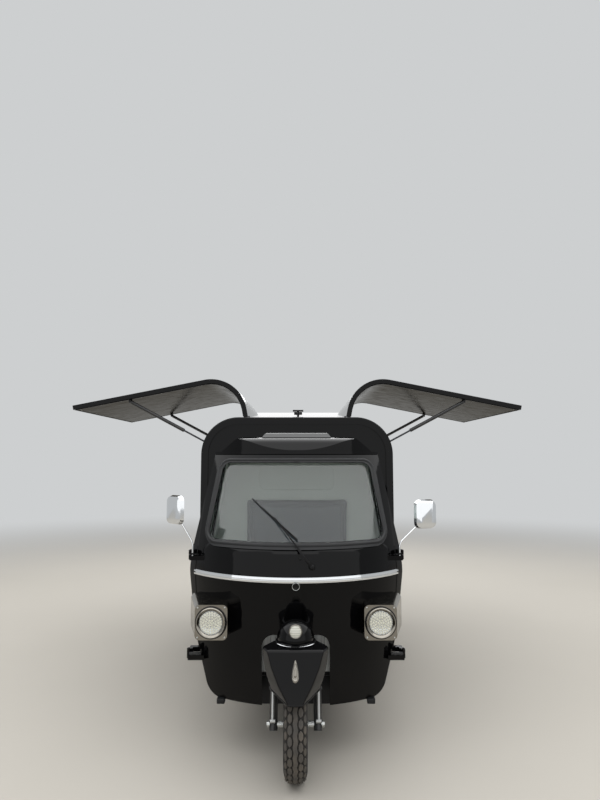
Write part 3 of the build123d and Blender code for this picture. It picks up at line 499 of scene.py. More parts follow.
def black_enamel():
    """Sprayed and cured black enamel, polished: deep, with a faint peel and road film low down."""
    values = {"Roughness": 0.08, "IOR": 1.45, "Specular IOR Level": 0.18}
    material, tree, place = new_finish("black_enamel", values)
    # the peel is about 4 mm; drawn at 9 mm, the finest that shows
    peel = add_node(tree, "TexNoise", {"Vector": place, "Scale": 110.0, "Detail": 1.0})
    drive(tree, peel, relief=(0.04, 0.0006))
    cloud = add_node(tree, "TexNoise", {"Vector": place, "Scale": 5.0, "Detail": 6.0})
    height = add_node(tree, "SeparateXYZ", {"Vector": place}).outputs[2]
    low_down = add_node(tree, "MapRange", {"Value": height, 1: 0.25, 2: 0.50, 3: 0.35, 4: 0.0})
    film = add_node(tree, "Math", {0: low_down, 1: cloud}, operation="MULTIPLY")
    drive(tree, film, tint=("#050506", "#24211E"), rough=(0.0, 0.4, 0.06, 0.30))
    return material


def black_powder_coat():
    """Powder-coated steel: satin black with a fine pebble, greyed by dust on its flats."""
    material, tree, place = new_finish("black_powder_coat", {"Roughness": 0.42, "IOR": 1.5})
    # powder grain is about 0.6 mm; drawn at 3 mm
    grain = add_node(tree, "TexNoise", {"Vector": place, "Scale": 330.0, "Detail": 2.0})
    drive(tree, grain, relief=(0.25, 0.0005))
    dust = add_node(tree, "TexNoise", {"Vector": place, "Scale": 9.0, "Detail": 7.0})
    drive(tree, dust, tint=("#111214", "#3A3632"), share=(0.45, 0.75, 0.0, 0.5))
    return material


def polished_chrome():
    """Chromium plate on polished steel: a clear mirror with faint wiping smears."""
    values = {"Metallic": 1.0, "Base Color": linear("#D9DBDD"), "Roughness": 0.06}
    material, tree, place = new_finish("polished_chrome", values)
    smear = add_node(tree, "TexNoise", {"Vector": place, "Scale": 24.0, "Detail": 4.0})
    drive(tree, smear, rough=(0.35, 0.75, 0.04, 0.13))
    return material


def silver_paint():
    """Metallic silver paint on moulded plastic and pressed steel: fine flake under a clear coat."""
    values = {"Metallic": 0.65, "Roughness": 0.34, "Coat Weight": 0.6, "Coat Roughness": 0.08}
    material, tree, place = new_finish("silver_paint", values)
    # flakes are about 0.05 mm; drawn at 1.5 mm
    flake = add_node(tree, "TexVoronoi", {"Vector": place, "Scale": 650.0})
    drive(tree, flake, tint=("#B4B5B3", "#989A99"))
    stain = add_node(tree, "TexNoise", {"Vector": place, "Scale": 30.0, "Detail": 5.0})
    drive(tree, stain, rough=(0.3, 0.7, 0.28, 0.45))
    return material


def nitrided_steel():
    """Gas-nitrided strut rods: ground steel turned near black, with a fine oily sheen."""
    material, tree, place = new_finish("nitrided_steel", {"Metallic": 1.0, "Roughness": 0.22})
    oil = add_node(tree, "TexNoise", {"Vector": place, "Scale": 60.0, "Detail": 4.0})
    drive(tree, oil, tint=("#2B2C2E", "#45464A"), rough=(0.3, 0.7, 0.15, 0.32))
    return material


def plated_plastic():
    """Chromium-plated plastic of the lamp housings: a mirror dulled by fine scratches and road film."""
    material, tree, place = new_finish("plated_plastic", {"Metallic": 1.0, "Roughness": 0.16})
    film = add_node(tree, "TexNoise", {"Vector": place, "Scale": 26.0, "Detail": 6.0})
    drive(tree, film, tint=("#938F87", "#7D7972"), rough=(0.3, 0.7, 0.12, 0.26))
    return material


def zinc_plate():
    """Bright zinc on turned steel: pale grey with slight spangle and handling marks."""
    material, tree, place = new_finish("zinc_plate", {"Metallic": 1.0, "Roughness": 0.3})
    spangle = add_node(tree, "TexVoronoi", {"Vector": place, "Scale": 260.0})
    drive(tree, spangle, tint=("#C4C6C5", "#9B9D9A"))
    marks = add_node(tree, "TexNoise", {"Vector": place, "Scale": 90.0, "Detail": 4.0})
    drive(tree, marks, rough=(0.3, 0.7, 0.2, 0.42))
    return material


def float_glass():
    """Laminated float glass: clear with a slight grey-green cast."""
    cast = "#EDF2F0"
    values = {"Base Color": linear(cast), "Roughness": 0.0, "IOR": 1.38, "Transmission Weight": 1.0}
    material, tree, place = new_finish("float_glass", values)
    # rolled waves about 300 mm apart bend the reflections a little
    wave = add_node(tree, "TexNoise", {"Vector": place, "Scale": 3.5, "Detail": 1.0})
    drive(tree, wave, relief=(0.15, 0.004))
    let_light_through(tree, cast)
    return material


def lamp_polycarbonate():
    """Clear moulded polycarbonate lamp cover, with a trace of haze."""
    values = {"Base Color": linear("#F2F4F4"), "Roughness": 0.03, "IOR": 1.58, "Transmission Weight": 1.0}
    material, tree, place = new_finish("lamp_polycarbonate", values)
    haze = add_node(tree, "TexNoise", {"Vector": place, "Scale": 60.0, "Detail": 3.0})
    drive(tree, haze, rough=(0.3, 0.7, 0.0, 0.06))
    let_light_through(tree, "#FFFFFF")
    return material


def seal_rubber():
    """Extruded EPDM rubber: dull near-black with a pale bloom along its length."""
    values = {"Roughness": 0.46, "IOR": 1.52, "Specular IOR Level": 0.25}
    material, tree, place = new_finish("seal_rubber", values)
    bloom = add_node(tree, "TexNoise", {"Vector": place, "Scale": 14.0, "Detail": 6.0})
    drive(tree, bloom, tint=("#0D0E0F", "#1C1D1F"))
    # the extruded skin's pits are under 1 mm; drawn at 3 mm
    pits = add_node(tree, "TexNoise", {"Vector": place, "Scale": 350.0, "Detail": 2.0})
    drive(tree, pits, relief=(0.2, 0.0004))
    return material


def tyre_rubber():
    """Cured tyre rubber: charcoal, browned by road dust on the tread, and painted lighter than the casing as
    the light on the blocks' faces.
    """
    material, tree, place = new_finish("tyre_rubber", {"Roughness": 0.78, "IOR": 1.5})
    dust = add_node(tree, "TexNoise", {"Vector": place, "Scale": 22.0, "Detail": 8.0})
    # the tread's colours are partly road dust and partly painted light: lighter than the casing, as the lit
    # faces of the blocks
    drive(tree, dust, tint=("#3A3836", "#5C554C"), share=(0.35, 0.7, 0.1, 0.75))
    # road grit is about 1 mm; drawn at 2.5 mm
    grit = add_node(tree, "TexNoise", {"Vector": place, "Scale": 420.0, "Detail": 3.0})
    drive(tree, grit, relief=(0.35, 0.0006))
    return material


def groove_rubber_painted_shade():
    """The tyre's casing between its tread blocks: the same rubber, painted darker as the shade that falls in
    the grooves.
    """
    material, tree, place = new_finish("groove_rubber_painted_shade", {"Roughness": 0.85, "IOR": 1.5})
    dust = add_node(tree, "TexNoise", {"Vector": place, "Scale": 40.0, "Detail": 6.0})
    # painted shade: the casing's colours are far darker than the tread's, as the grooves and walls look in
    # shadow
    drive(tree, dust, tint=("#0E0E0E", "#26231F"))
    return material


def pale_lining():
    """Thermoformed ABS lining sheet: pale cool grey with a leather-like emboss."""
    material, tree, place = new_finish("pale_lining", {"Roughness": 0.48, "IOR": 1.5})
    # the emboss is about 1.5 mm; drawn at 5 mm
    emboss = add_node(tree, "TexVoronoi", {"Vector": place, "Scale": 200.0})
    drive(tree, emboss, relief=(0.06, 0.0005))
    wear = add_node(tree, "TexNoise", {"Vector": place, "Scale": 4.0, "Detail": 6.0})
    drive(tree, wear, tint=("#D9DBD8", "#C4C7C4"))
    return material


def seat_vinyl():
    """Calendered vinyl on foam: slate blue-black with a hide grain that breaks up its sheen."""
    material, tree, place = new_finish("seat_vinyl", {"Roughness": 0.46, "IOR": 1.5})
    # hide grain is about 1 mm; drawn at 4 mm
    grain = add_node(tree, "TexVoronoi", {"Vector": place, "Scale": 250.0}, feature="SMOOTH_F1")
    drive(tree, grain, relief=(0.05, 0.0006))
    rub = add_node(tree, "TexNoise", {"Vector": place, "Scale": 7.0, "Detail": 5.0})
    drive(tree, rub, tint=("#232B36", "#343E4A"), rough=(0.3, 0.7, 0.38, 0.56))
    return material


def black_abs():
    """Injection-moulded black ABS with a spark-eroded grain, scuffed grey."""
    values = {"Roughness": 0.40, "IOR": 1.5, "Specular IOR Level": 0.14}
    material, tree, place = new_finish("black_abs", values)
    # the mould grain is about 0.4 mm; drawn at 2.5 mm
    grain = add_node(tree, "TexNoise", {"Vector": place, "Scale": 400.0, "Detail": 2.0})
    drive(tree, grain, relief=(0.3, 0.0004))
    scuff = add_node(tree, "TexNoise", {"Vector": place, "Scale": 18.0, "Detail": 6.0})
    drive(tree, scuff, tint=("#0A0A0B", "#171718"))
    return material


def tread_plate():
    """Rolled aluminium tread plate: raised bars, each pair turned across the next, worn bright."""
    values = {"Metallic": 1.0, "Base Color": linear("#A9ACAD"), "Roughness": 0.34}
    material, tree, place = new_finish("tread_plate", values)
    # bars repeat every 28 mm
    turn = {"Vector": place, "Rotation": (0, 0, math.radians(45)), "Scale": (36.0, 36.0, 36.0)}
    turn = add_node(tree, "Mapping", turn)
    cells = add_node(tree, "TexChecker", {"Vector": turn, "Scale": 1.0}).outputs["Fac"]
    parts = add_node(tree, "SeparateXYZ", {"Vector": turn}).outputs
    bars_x = add_node(tree, "Math", {0: parts[0], 1: 0.5}, operation="PINGPONG")
    bars_y = add_node(tree, "Math", {0: parts[1], 1: 0.5}, operation="PINGPONG")
    chosen = add_node(tree, "Mix", {0: cells, 2: bars_x, 3: bars_y}, data_type="FLOAT")
    raised = add_node(tree, "MapRange", {"Value": chosen, 1: 0.28, 2: 0.40, 3: 0.0, 4: 1.0})
    drive(tree, raised, relief=(0.8, 0.0015))
    return material


def brushed_stainless():
    """Stainless sheet brushed along the counter: fine lines that stretch its reflections."""
    material, tree, place = new_finish("brushed_stainless", {"Metallic": 1.0, "Roughness": 0.3})
    # brush lines are under 0.2 mm apart; drawn at 1.5 mm, and 250 mm long
    lines = add_node(tree, "Mapping", {"Vector": place, "Scale": (650.0, 4.0, 650.0)})
    brush = add_node(tree, "TexNoise", {"Vector": lines, "Scale": 1.0, "Detail": 3.0})
    drive(tree, brush, tint=("#B4B6B6", "#C9CBCA"), rough=(0.3, 0.7, 0.2, 0.42), relief=(0.12, 0.0003))
    return material


def polished_liner():
    """Polished metal sheet inside the raised sides: a dim, softly waved mirror of the ground."""
    values = {"Metallic": 1.0, "Base Color": linear("#6E6A64"), "Roughness": 0.12}
    values["Specular Tint"] = linear("#8B8780")
    material, tree, place = new_finish("polished_liner", values)
    # the sheet's waves are about 150 mm long
    wave = add_node(tree, "TexNoise", {"Vector": place, "Scale": 7.0, "Detail": 2.0})
    drive(tree, wave, relief=(0.5, 0.003))
    film = add_node(tree, "TexNoise", {"Vector": place, "Scale": 16.0, "Detail": 6.0})
    drive(tree, film, rough=(0.35, 0.7, 0.08, 0.22))
    return material


def moulded_lens(name, deep, bright):
    """Coloured acrylic lamp lens: clear gloss over prisms about 5 mm apart."""
    values = {"Roughness": 0.08, "IOR": 1.49, "Coat Weight": 0.5}
    material, tree, place = new_finish(name, values)
    prisms = {"Vector": place, "Scale": 32.0}
    prisms = add_node(tree, "TexWave", prisms, bands_direction="Z", wave_profile="TRI")
    drive(tree, prisms.outputs["Fac"], tint=(deep, bright))
    return material


def lamp_diode():
    """Lamp diodes under clear epoxy: pale warm domes, with a faint painted glow that stands in for the light
    that they catch.
    """
    # painted light: the emission strength makes the diodes glow faintly
    values = {"Roughness": 0.12, "IOR": 1.53, "Coat Weight": 0.5, "Emission Strength": 0.08}
    material, tree, place = new_finish("lamp_diode", values)
    shade = add_node(tree, "TexNoise", {"Vector": place, "Scale": 180.0})
    drive(tree, shade, tint=("#E6E3D4", "#C9C7BA"))
    shader = tree.nodes["shader"]
    # the glow takes the diodes' own colour: painted light, not a lit lamp
    tree.links.new(shader.inputs["Base Color"].links[0].from_socket, shader.inputs["Emission Color"])
    return material


backdrop_colour = linear("#CDCFD0")


def pale_floor():
    """The studio floor: pale matt screed with a very slight cloud, which runs into the backdrop far off."""
    material, tree, place = new_finish("pale_floor", {"Roughness": 0.8, "Specular IOR Level": 0.2})
    cloud = add_node(tree, "TexNoise", {"Vector": place, "Scale": 0.6, "Detail": 5.0})
    drive(tree, cloud, tint=("#B9B5AD", "#B1ADA5"))
    away = add_node(tree, "VectorMath", {0: place}, operation="LENGTH").outputs["Value"]
    far = {"Value": away, 1: 3.6, 2: 12.0, 3: 0.0, 4: 1.0}
    far = add_node(tree, "MapRange", far, interpolation_type="SMOOTHSTEP")
    share = add_node(tree, "Math", {0: far, 1: seen_directly(tree)}, operation="MULTIPLY")
    cove = add_node(tree, "Emission", {"Color": backdrop_colour, "Strength": 1.0})
    mixed = add_node(tree, "MixShader", {0: share, 1: tree.nodes["shader"], 2: cove})
    tree.links.new(mixed.outputs[0], tree.nodes["output"].inputs["Surface"])
    return material


enamel = black_enamel()
powder = black_powder_coat()
chrome = polished_chrome()
silver = silver_paint()
plated = plated_plastic()
nitrided = nitrided_steel()
zinc = zinc_plate()
glass = float_glass()
lamp_clear = lamp_polycarbonate()
rubber = seal_rubber()
tyre_face = tyre_rubber()
casing_painted_shade = groove_rubber_painted_shade()
lining = pale_lining()
vinyl = seat_vinyl()
abs_black = black_abs()
floor_plate = tread_plate()
stainless = brushed_stainless()
liner_sheet = polished_liner()
red_lens = moulded_lens("red_lens", "#5E0608", "#A90F12")
amber_lens = moulded_lens("amber_lens", "#9A4A05", "#E07A12")
diode = lamp_diode()
frosted_lens = moulded_lens("frosted_lens", "#A8A89E", "#CDCDC4")

curved_nodes = [
    # finish, slot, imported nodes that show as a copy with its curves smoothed
    (enamel, "black_paint", "cab_front cab_side_left cab_side_right cab_roof kiosk_front kiosk_rear"),
    (enamel, "black_paint", "door_left door_right mudguard_lamp"),
    (enamel, "black_panel", "kiosk_roof wing_left wing_right rear_hatch"),
    (powder, "chassis_black", "chassis_frame rear_axle rear_bumper fork"),
    (powder, "chassis_black", "wing_left_strut_tubes wing_right_strut_tubes hatch_strut_tubes"),
    (nitrided, "steel", "wing_left_strut_rods wing_right_strut_rods hatch_strut_rods"),
    (zinc, "steel", "front_axle"),
    (chrome, "chrome", "chrome_strip"),
    (plated, "silver_paint", "headlamp_housings"),
    (silver, "rim_paint", "front_rim rear_left_rim rear_right_rim"),
    (glass, "glass", "windscreen door_glass_left door_glass_right"),
    (rubber, "seal_rubber", "windscreen_seal"),
    (abs_black, "black_plastic", "rear_mudguards"),
]
plain_nodes = [
    # finish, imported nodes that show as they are, or that pieces below replace
    (enamel, "kiosk_skirts front_mudguard"),
    (powder, "seat_base"),
    (chrome, "headlamp_bezels mirrors"),
    (lamp_clear, "headlamp_lenses"),
    (casing_painted_shade, "front_tyre rear_left_tyre rear_right_tyre"),
    (lining, "cab_rear_lining"),
    (vinyl, "bench_seat"),
    (abs_black, "battery_pack dash_shelf wiper"),
    (floor_plate, "cab_floor kiosk_floor"),
    (stainless, "serving_counters"),
    (red_lens, "tail_lamps"),
]
for finish, slot, nodes in curved_nodes + [(finish, None, nodes) for finish, nodes in plain_nodes]:
    for name in nodes.split():
        node = frame["nodes"][name]
        node.data.materials.clear()
        node.data.materials.append(finish)
        if slot is None:
            continue
        copy = twin(node)
        copy.parent = None
        body = node["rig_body"]
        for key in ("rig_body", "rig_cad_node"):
            del copy[key]
        only(copy)
        if copy.data.has_custom_normals:
            bpy.ops.mesh.customdata_custom_splitnormals_clear()
        mend(copy, 0.00005)
        done(copy, name + "_smooth", finish, 28, body)
        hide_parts(name)

# Camera, light and floor
bpy.ops.object.camera_add(location=(0.02, -4.52, 1.448), rotation=(math.radians(95.61), 0, 0))
camera = bpy.context.object
camera.data.sensor_width = 36.0
camera.data.lens = 27.05
bpy.context.scene.camera = camera
bpy.context.scene.view_settings.view_transform = "Standard"

lamp_table = [
    # name, place, aims at, width, height, watts
    ("overhead", (0.0, -0.9, 5.8), (0, -0.7, 0.6), 15.0, 10.4, 860),
    ("front", (0.0, -9.0, 4.3), (0, -0.8, 3.2), 28.0, 8.4, 560),
    ("rear", (0.5, 5.5, 3.8), (0, 0.6, 0.9), 4.0, 2.5, 100),
]
for name, place, aim, width, height, watts in lamp_table:
    bpy.ops.object.light_add(type="AREA", location=place)
    lamp = bpy.context.object
    lamp.name = "studio_" + name
    lamp.rotation_euler = (Vector(aim) - Vector(place)).to_track_quat("-Z", "Y").to_euler()
    lamp.data.shape = "RECTANGLE"
    lamp.data.size = width
    lamp.data.size_y = height
    lamp.data.energy = watts

world = bpy.data.worlds.new("studio_world")
bpy.context.scene.world = world
world.use_nodes = True
sky = world.node_tree
sky.nodes.clear()
plain = add_node(sky, "Background", {"Color": linear("#FFFFFF"), "Strength": 0.34})
backdrop = add_node(sky, "Background", {"Color": backdrop_colour, "Strength": 1.0})
chosen_sky = add_node(sky, "MixShader", {0: seen_directly(sky), 1: plain, 2: backdrop})
add_node(sky, "OutputWorld", {"Surface": chosen_sky})

ready()
bpy.ops.mesh.primitive_plane_add(size=90)
floor = bpy.context.object
floor.name = "studio_floor"
floor.data.materials.append(pale_floor())

# Tyres: a grooved casing with rows of six-sided blocks
casing_half = [
    # across, radius, in mm, from the outer bead to the middle of the tread
    (39.7, 130.2),
    (39.7, 141.0),
    (47.0, 147.0),
    (52.5, 158.0),
    (54.0, 174.0),
    (53.2, 190.0),
    (50.0, 203.0),
    (44.0, 213.5),
    (34.0, 221.5),
    (20.0, 226.0),
    (0.0, 227.5),
]
casing_rows = [(-across, radius) for across, radius in casing_half[:-1]] + casing_half[::-1]
block_rows = [
    # across, radius of the block's face, tilt, width, length, shift along the tread
    (23.5, 231.0, 11, 19.5, 42.0, 0.0),
    (-23.5, 231.0, -11, 19.5, 42.0, 0.5),
    (41.0, 221.5, 40, 14.0, 36.0, 0.5),
    (-41.0, 221.5, -40, 14.0, 36.0, 0.0),
]
blocks_round = 32
block_depth = 7.0 * MM
rib_half = 10.2 * MM
rib_swing = 2.2 * MM


def tread_block(width, length):
    """One six-sided tread block, pointed along the tread, its corners rounded."""
    ready()
    bpy.ops.mesh.primitive_cylinder_add(vertices=6, radius=0.5, depth=1)
    piece = settle(bpy.context.object)
    piece.scale = (width * MM / 0.866, length * MM, block_depth)
    settle(piece)
    pick(piece, "EDGE", lambda edge: span(piece, edge).z > 1 * MM)
    bpy.ops.mesh.bevel(offset=2.4 * MM, segments=2)
    pick(piece, "FACE", lambda face: face.normal.z > 0.9)
    bpy.ops.mesh.bevel(offset=1.0 * MM, segments=1)
    pick(piece, "FACE", lambda face: face.normal.z < -0.9)
    bpy.ops.mesh.delete(type="FACE")
    ready()
    return piece


def middle_rib(centre):
    """The rib round the middle of the tread: its edges run in and out past the blocks."""
    rows = []
    for index in range(4 * blocks_round + 1):
        swing = rib_swing * (1 - abs(index % 4 - 2))
        right, left = rib_half + swing, rib_half - swing
        section = [(-left, 226.5), (MM - left, 232.6), (0, 233.0), (right - MM, 232.6), (right, 226.5)]
        angle = 2 * math.pi * index / (4 * blocks_round)
        lay = Matrix.Translation(centre) @ Matrix.Rotation(angle, 4, "X")
        rows.append([lay @ Vector((across, 0, radius * MM)) for across, radius in section])
    return mend(skin(rows))


def tyre(name, centre, body):
    """A tyre about its axle."""
    casing = turned(centre, ALONG_X, casing_rows + casing_rows[:1], 96)
    done(casing, name + "_casing", casing_painted_shade, 50, body)
    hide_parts(name)
    group = [middle_rib(centre)]
    for across, radius, tilt, width, length, shift in block_rows:
        out = Matrix.Translation((across * MM, 0, radius * MM - block_depth / 2))
        lay = out @ Matrix.Rotation(math.radians(tilt), 4, "Y")
        moves = []
        for index in range(blocks_round):
            angle = 2 * math.pi * (index + shift) / blocks_round
            moves.append(Matrix.Translation(centre) @ Matrix.Rotation(angle, 4, "X") @ lay)
        group.append(repeat(tread_block(width, length), moves))
    done(join(group), name + "_tread", tyre_face, 28, body)
    ribs = []
    for side in (1, -1):
        rows = [(51.6, 164), (54.0, 166), (54.0, 170), (51.6, 172), (51.6, 164)]
        ribs.append(turned(centre, ALONG_X, [(side * across, radius) for across, radius in rows], 72))
    done(join(ribs), name + "_wall_ribs", casing_painted_shade, 50, body)


tyre("front_tyre", front_axle, "front_wheel")
tyre("rear_left_tyre", rear_axles["left"], "rear_wheel_left")
tyre("rear_right_tyre", rear_axles["right"], "rear_wheel_right")

nut_rows = [(0, 0), (0, 9), (9, 9), (11, 7), (11, 0)]
valve_rows = [(0, 0), (0, 4), (16, 3.4), (16, 4.2), (24, 4.2), (25, 0)]
cap_rows = [(36.2, 0), (36.2, 26), (46, 25), (52, 20), (54, 0)]


def wheel_nuts(name, centre, side, body, face):
    """Nuts and valve on the outer face of a wheel's disc."""
    places = []
    for index in range(4):
        angle = math.radians(45 + 90 * index)
        places.append(centre + Vector((side * face, 52 * MM * math.cos(angle), 52 * MM * math.sin(angle))))
    nuts = repeat(turned((0, 0, 0), ALONG_X * side, nut_rows, 6), places)
    done(nuts, name + "_nuts", zinc, 30, body)
    stem = turned(centre + Vector((side * face, 0, 108 * MM)), ALONG_X * side, valve_rows, 14)
    done(stem, name + "_valve", rubber, 35, body)


wheel_nuts("front_wheel_left", front_axle, 1, "front_wheel", 4 * MM)
for side, name in ((1, "left"), (-1, "right")):
    body = f"rear_wheel_{name}"
    wheel_nuts(f"rear_{name}_wheel", rear_axles[name], side, body, 18 * MM)
    cap = turned(rear_axles[name], ALONG_X * side, cap_rows, 32)
    done(cap, f"rear_{name}_hub_cap", abs_black, 35, body)

# Headlamps: a flared bezel, reflector, clear cover and rubber ring, which also paints the dark gap in shadow
# round the bezel, diodes in rings, and corner screws
bezel_rows = [(0.3, 73.5), (9, 73.0), (13.5, 71.0), (15.0, 68.5), (14.0, 66.5), (7.0, 58.5), (5.2, 56.6)]
cover_rows = [(7.6, 56.4), (9.6, 48.0), (11.4, 30.0), (12.2, 0)]
cover_rows += [(10.8, 0), (10.0, 29.6), (8.4, 47.2), (6.6, 55.2), (7.6, 56.4)]
lamp_parts = [
    # name, finish, smoothing angle, sides, rows of distance and radius
    ("bezel_rings", plated, 50, 72, bezel_rows + [(0.3, 56.6), (0.3, 73.5)]),
    ("reflectors", chrome, 35, 64, [(0.6, 0), (0.6, 55.5), (5.4, 56.4), (5.4, 54.4), (2.6, 52.0), (2.0, 0)]),
    ("covers", lamp_clear, 40, 64, cover_rows),
    # partly painted shade: this black ring is a rubber seal, and also stands in for the shadowed gap round
    # the bezel
    ("rings", rubber, 40, 64, [(0.2, 73.6), (0.2, 77.6), (3.5, 77.6), (4.6, 76.2), (3.5, 73.6), (0.2, 73.6)]),
]
for name, finish, angle, sides, rows in lamp_parts:
    part = both_sides(turned(lamp_centre, -ALONG_Y, rows, sides))
    done(part, "headlamp_" + name, finish, angle)
    if name == "bezel_rings":
        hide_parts("headlamp_bezels")
    if name == "covers":
        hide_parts("headlamp_lenses")
diode_rows = [(1.8, 4.9), (4.0, 5.8), (4.0, 5.1), (2.8, 3.9), (4.6, 3.4), (5.8, 2.2), (6.2, 0)]
diode_rings = [
    # radius in mm, how many, shift along the ring
    (0, 1, 0.0),
    (12.5, 6, 0.0),
    (24.5, 12, 0.5),
    (36.0, 18, 0.0),
    (47.0, 24, 0.5),
]
places = []
for radius, count, shift in diode_rings:
    for index in range(count):
        angle = 2 * math.pi * (index + shift) / count
        offset = Vector((radius * MM * math.cos(angle), 0, radius * MM * math.sin(angle)))
        places.append(lamp_centre + offset)
diodes = repeat(turned((0, 0, 0), -ALONG_Y, diode_rows, 12), places)
done(both_sides(diodes), "headlamp_diodes", diode, 40)
screw_rows = [(-1, 0), (-1, 4.4), (1.4, 4.2), (2.4, 2.6), (2.4, 1.2), (1.2, 1.2), (1.2, 0)]
places = [lamp_centre + Vector((across * MM, 0, up * MM)) for across in (-66, 66) for up in (-70, 70)]
screws = repeat(turned((0, 0, 0), -ALONG_Y, screw_rows, 16), places)
done(both_sides(screws), "headlamp_screws", zinc, 30)

# Mudguard: a skin drawn round its plan from the rear left to the rear right, row by row up to its top
guard_foot = 0.380
guard_foot_y = -1.8875
guard_lean = 0.367
guard_edge = 0.012
guard_shoulder_y = -1.742
guard_tail_y = -1.580
guard_tail_half = 0.060
guard_top = 0.617
guard_top_y = -1.812
guard_top_slope = 0.008
guard_face = [
    # height, half width of the flat face
    (0.410, 0.030),
    (0.427, 0.040),
    (0.478, 0.071),
    (0.545, 0.102),
    (0.606, 0.1215),
    (0.640, 0.128),
]
guard_widest = [
    # height, half width where it is widest
    (0.400, 0.084),
    (0.430, 0.108),
    (0.481, 0.130),
    (0.541, 0.143),
    (0.606, 0.151),
    (0.640, 0.153),
]
guard_hem = [
    # station, height of the lower edge
    (-1.870, 0.412),
    (-1.800, 0.416),
    (-1.745, 0.430),
    (-1.700, 0.460),
    (-1.640, 0.512),
    (guard_tail_y, 0.538),
]


def guard_front(height):
    """Station of the mudguard's front face at a height."""
    return guard_foot_y + guard_lean * (height - guard_foot)


def guard_plan(height, inset=0.0):
    """Half of the mudguard's plan at a height, from its middle round to its rear, drawn in by an inset."""
    front = guard_front(height) + inset
    face, widest = between(guard_face, height)[0], between(guard_widest, height)[0]
    corners = [
        (0.0, front - 0.002, 0.0),
        (face - inset, front + 0.002, min(0.012, face * 0.3)),
        (widest - inset, guard_shoulder_y, 0.030),
        (min(guard_tail_half, widest) - inset * 0.5, guard_tail_y - inset, 0.0),
    ]
    return rounded_line(corners, 6, 5)


guard_rows = []
hem_plan = guard_plan(height=0.450)
body_rows = 14
edge_rows = 5
for row in range(body_rows + edge_rows + 1):
    right = []
    for column, (across, station) in enumerate(hem_plan):
        hem = between(guard_hem, max(station, guard_hem[0][0]))[0]
        crest = guard_top + guard_top_slope * (station - guard_top_y)
        inset = 0.0
        if row < body_rows:
            height = hem + (crest - guard_edge - hem) * row / (body_rows - 1)
        elif row < body_rows + edge_rows:
            turn = math.radians((row - body_rows + 1) * 90 / edge_rows)
            height = crest - guard_edge * (1 - math.sin(turn))
            inset = guard_edge * (1 - math.cos(turn))
        else:
            height = crest
            inset = guard_edge + 0.0015
        right.append((*guard_plan(height, inset)[column], height))
    left = [(-x, y, z) for x, y, z in reversed(right[1:])]
    guard_rows.append(left + right)
guard = skin(guard_rows)
top_row = len(guard.data.vertices) - len(guard_rows[0])
pick(guard, "VERT", lambda vertex: vertex.index >= top_row)
bpy.ops.mesh.edge_face_add()
mend(guard)
shape(guard, "SOLIDIFY", thickness=0.005, offset=-1.0)
done(guard, "mudguard_skin", enamel, 40, "steering")
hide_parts("front_mudguard")
done(tube(guard_rows[0], 0.0036), "mudguard_hem", enamel, 60, "steering")

# The drop-shaped ornament on the mudguard's face
drop_height = 0.537
drop_outline = []
for index in range(36):
    angle = 2 * math.pi * index / 36
    wide = 20.5 * MM * math.sin(angle) * (0.64 - 0.36 * math.cos(angle))
    drop_outline.append((wide, 0, 45 * MM * math.cos(angle)))
drop = plate(drop_outline, 5.0 * MM, -ALONG_Y)
pick(drop, "FACE", lambda face: face.normal.y < -0.9)
for share, forward in ((0.80, 2.0), (0.92, -1.4), (0.62, -0.4), (0.80, 3.0), (0.45, 0.8)):
    bpy.ops.mesh.extrude_region_move(TRANSFORM_OT_translate={"value": (0, -forward * MM, 0)})
    bpy.ops.transform.resize(value=(share, 1, share), center_override=(0, 0, -8 * MM))
ready()
turn_about(drop, (0, 0, 0), "X", -math.atan(guard_lean))
drop.data.transform(Matrix.Translation((0, guard_front(drop_height) - 0.001, drop_height)))
done(mend(drop), "mudguard_ornament", plated, 40, "steering")

# The dome on the mudguard: a rolled ring at its foot, and a small lamp on its brow
dome_centre = Vector((0, -1.668, 0.614))
collar_rows = [(0.5, 88.5), (0.5, 93.5), (3.5, 95.0), (7.0, 93.5), (9.0, 90.5), (9.0, 88.5), (0.5, 88.5)]
done(turned(dome_centre, (0, -0.055, 1), collar_rows, 72), "dome_ring", chrome, 40, "steering")
small_lamp = Vector((0, -1.750, 0.682))
small_dir = Vector((0, -0.987, 0.16))
small_rows = [(-16, 28.0), (-2, 29.5), (4, 30.4), (8, 29.6), (9.5, 27.8), (8, 26.0), (3, 25.6), (-16, 28.0)]
done(turned(small_lamp, small_dir, small_rows, 48), "small_lamp_bezel", plated, 40, "steering")
lens_rows = [(2.2, 0), (2.2, 25.6), (6.5, 25.2), (9.5, 20.0), (11.0, 12.0), (11.6, 0)]
done(turned(small_lamp, small_dir, lens_rows, 40), "small_lamp_lens", frosted_lens, 50, "steering")

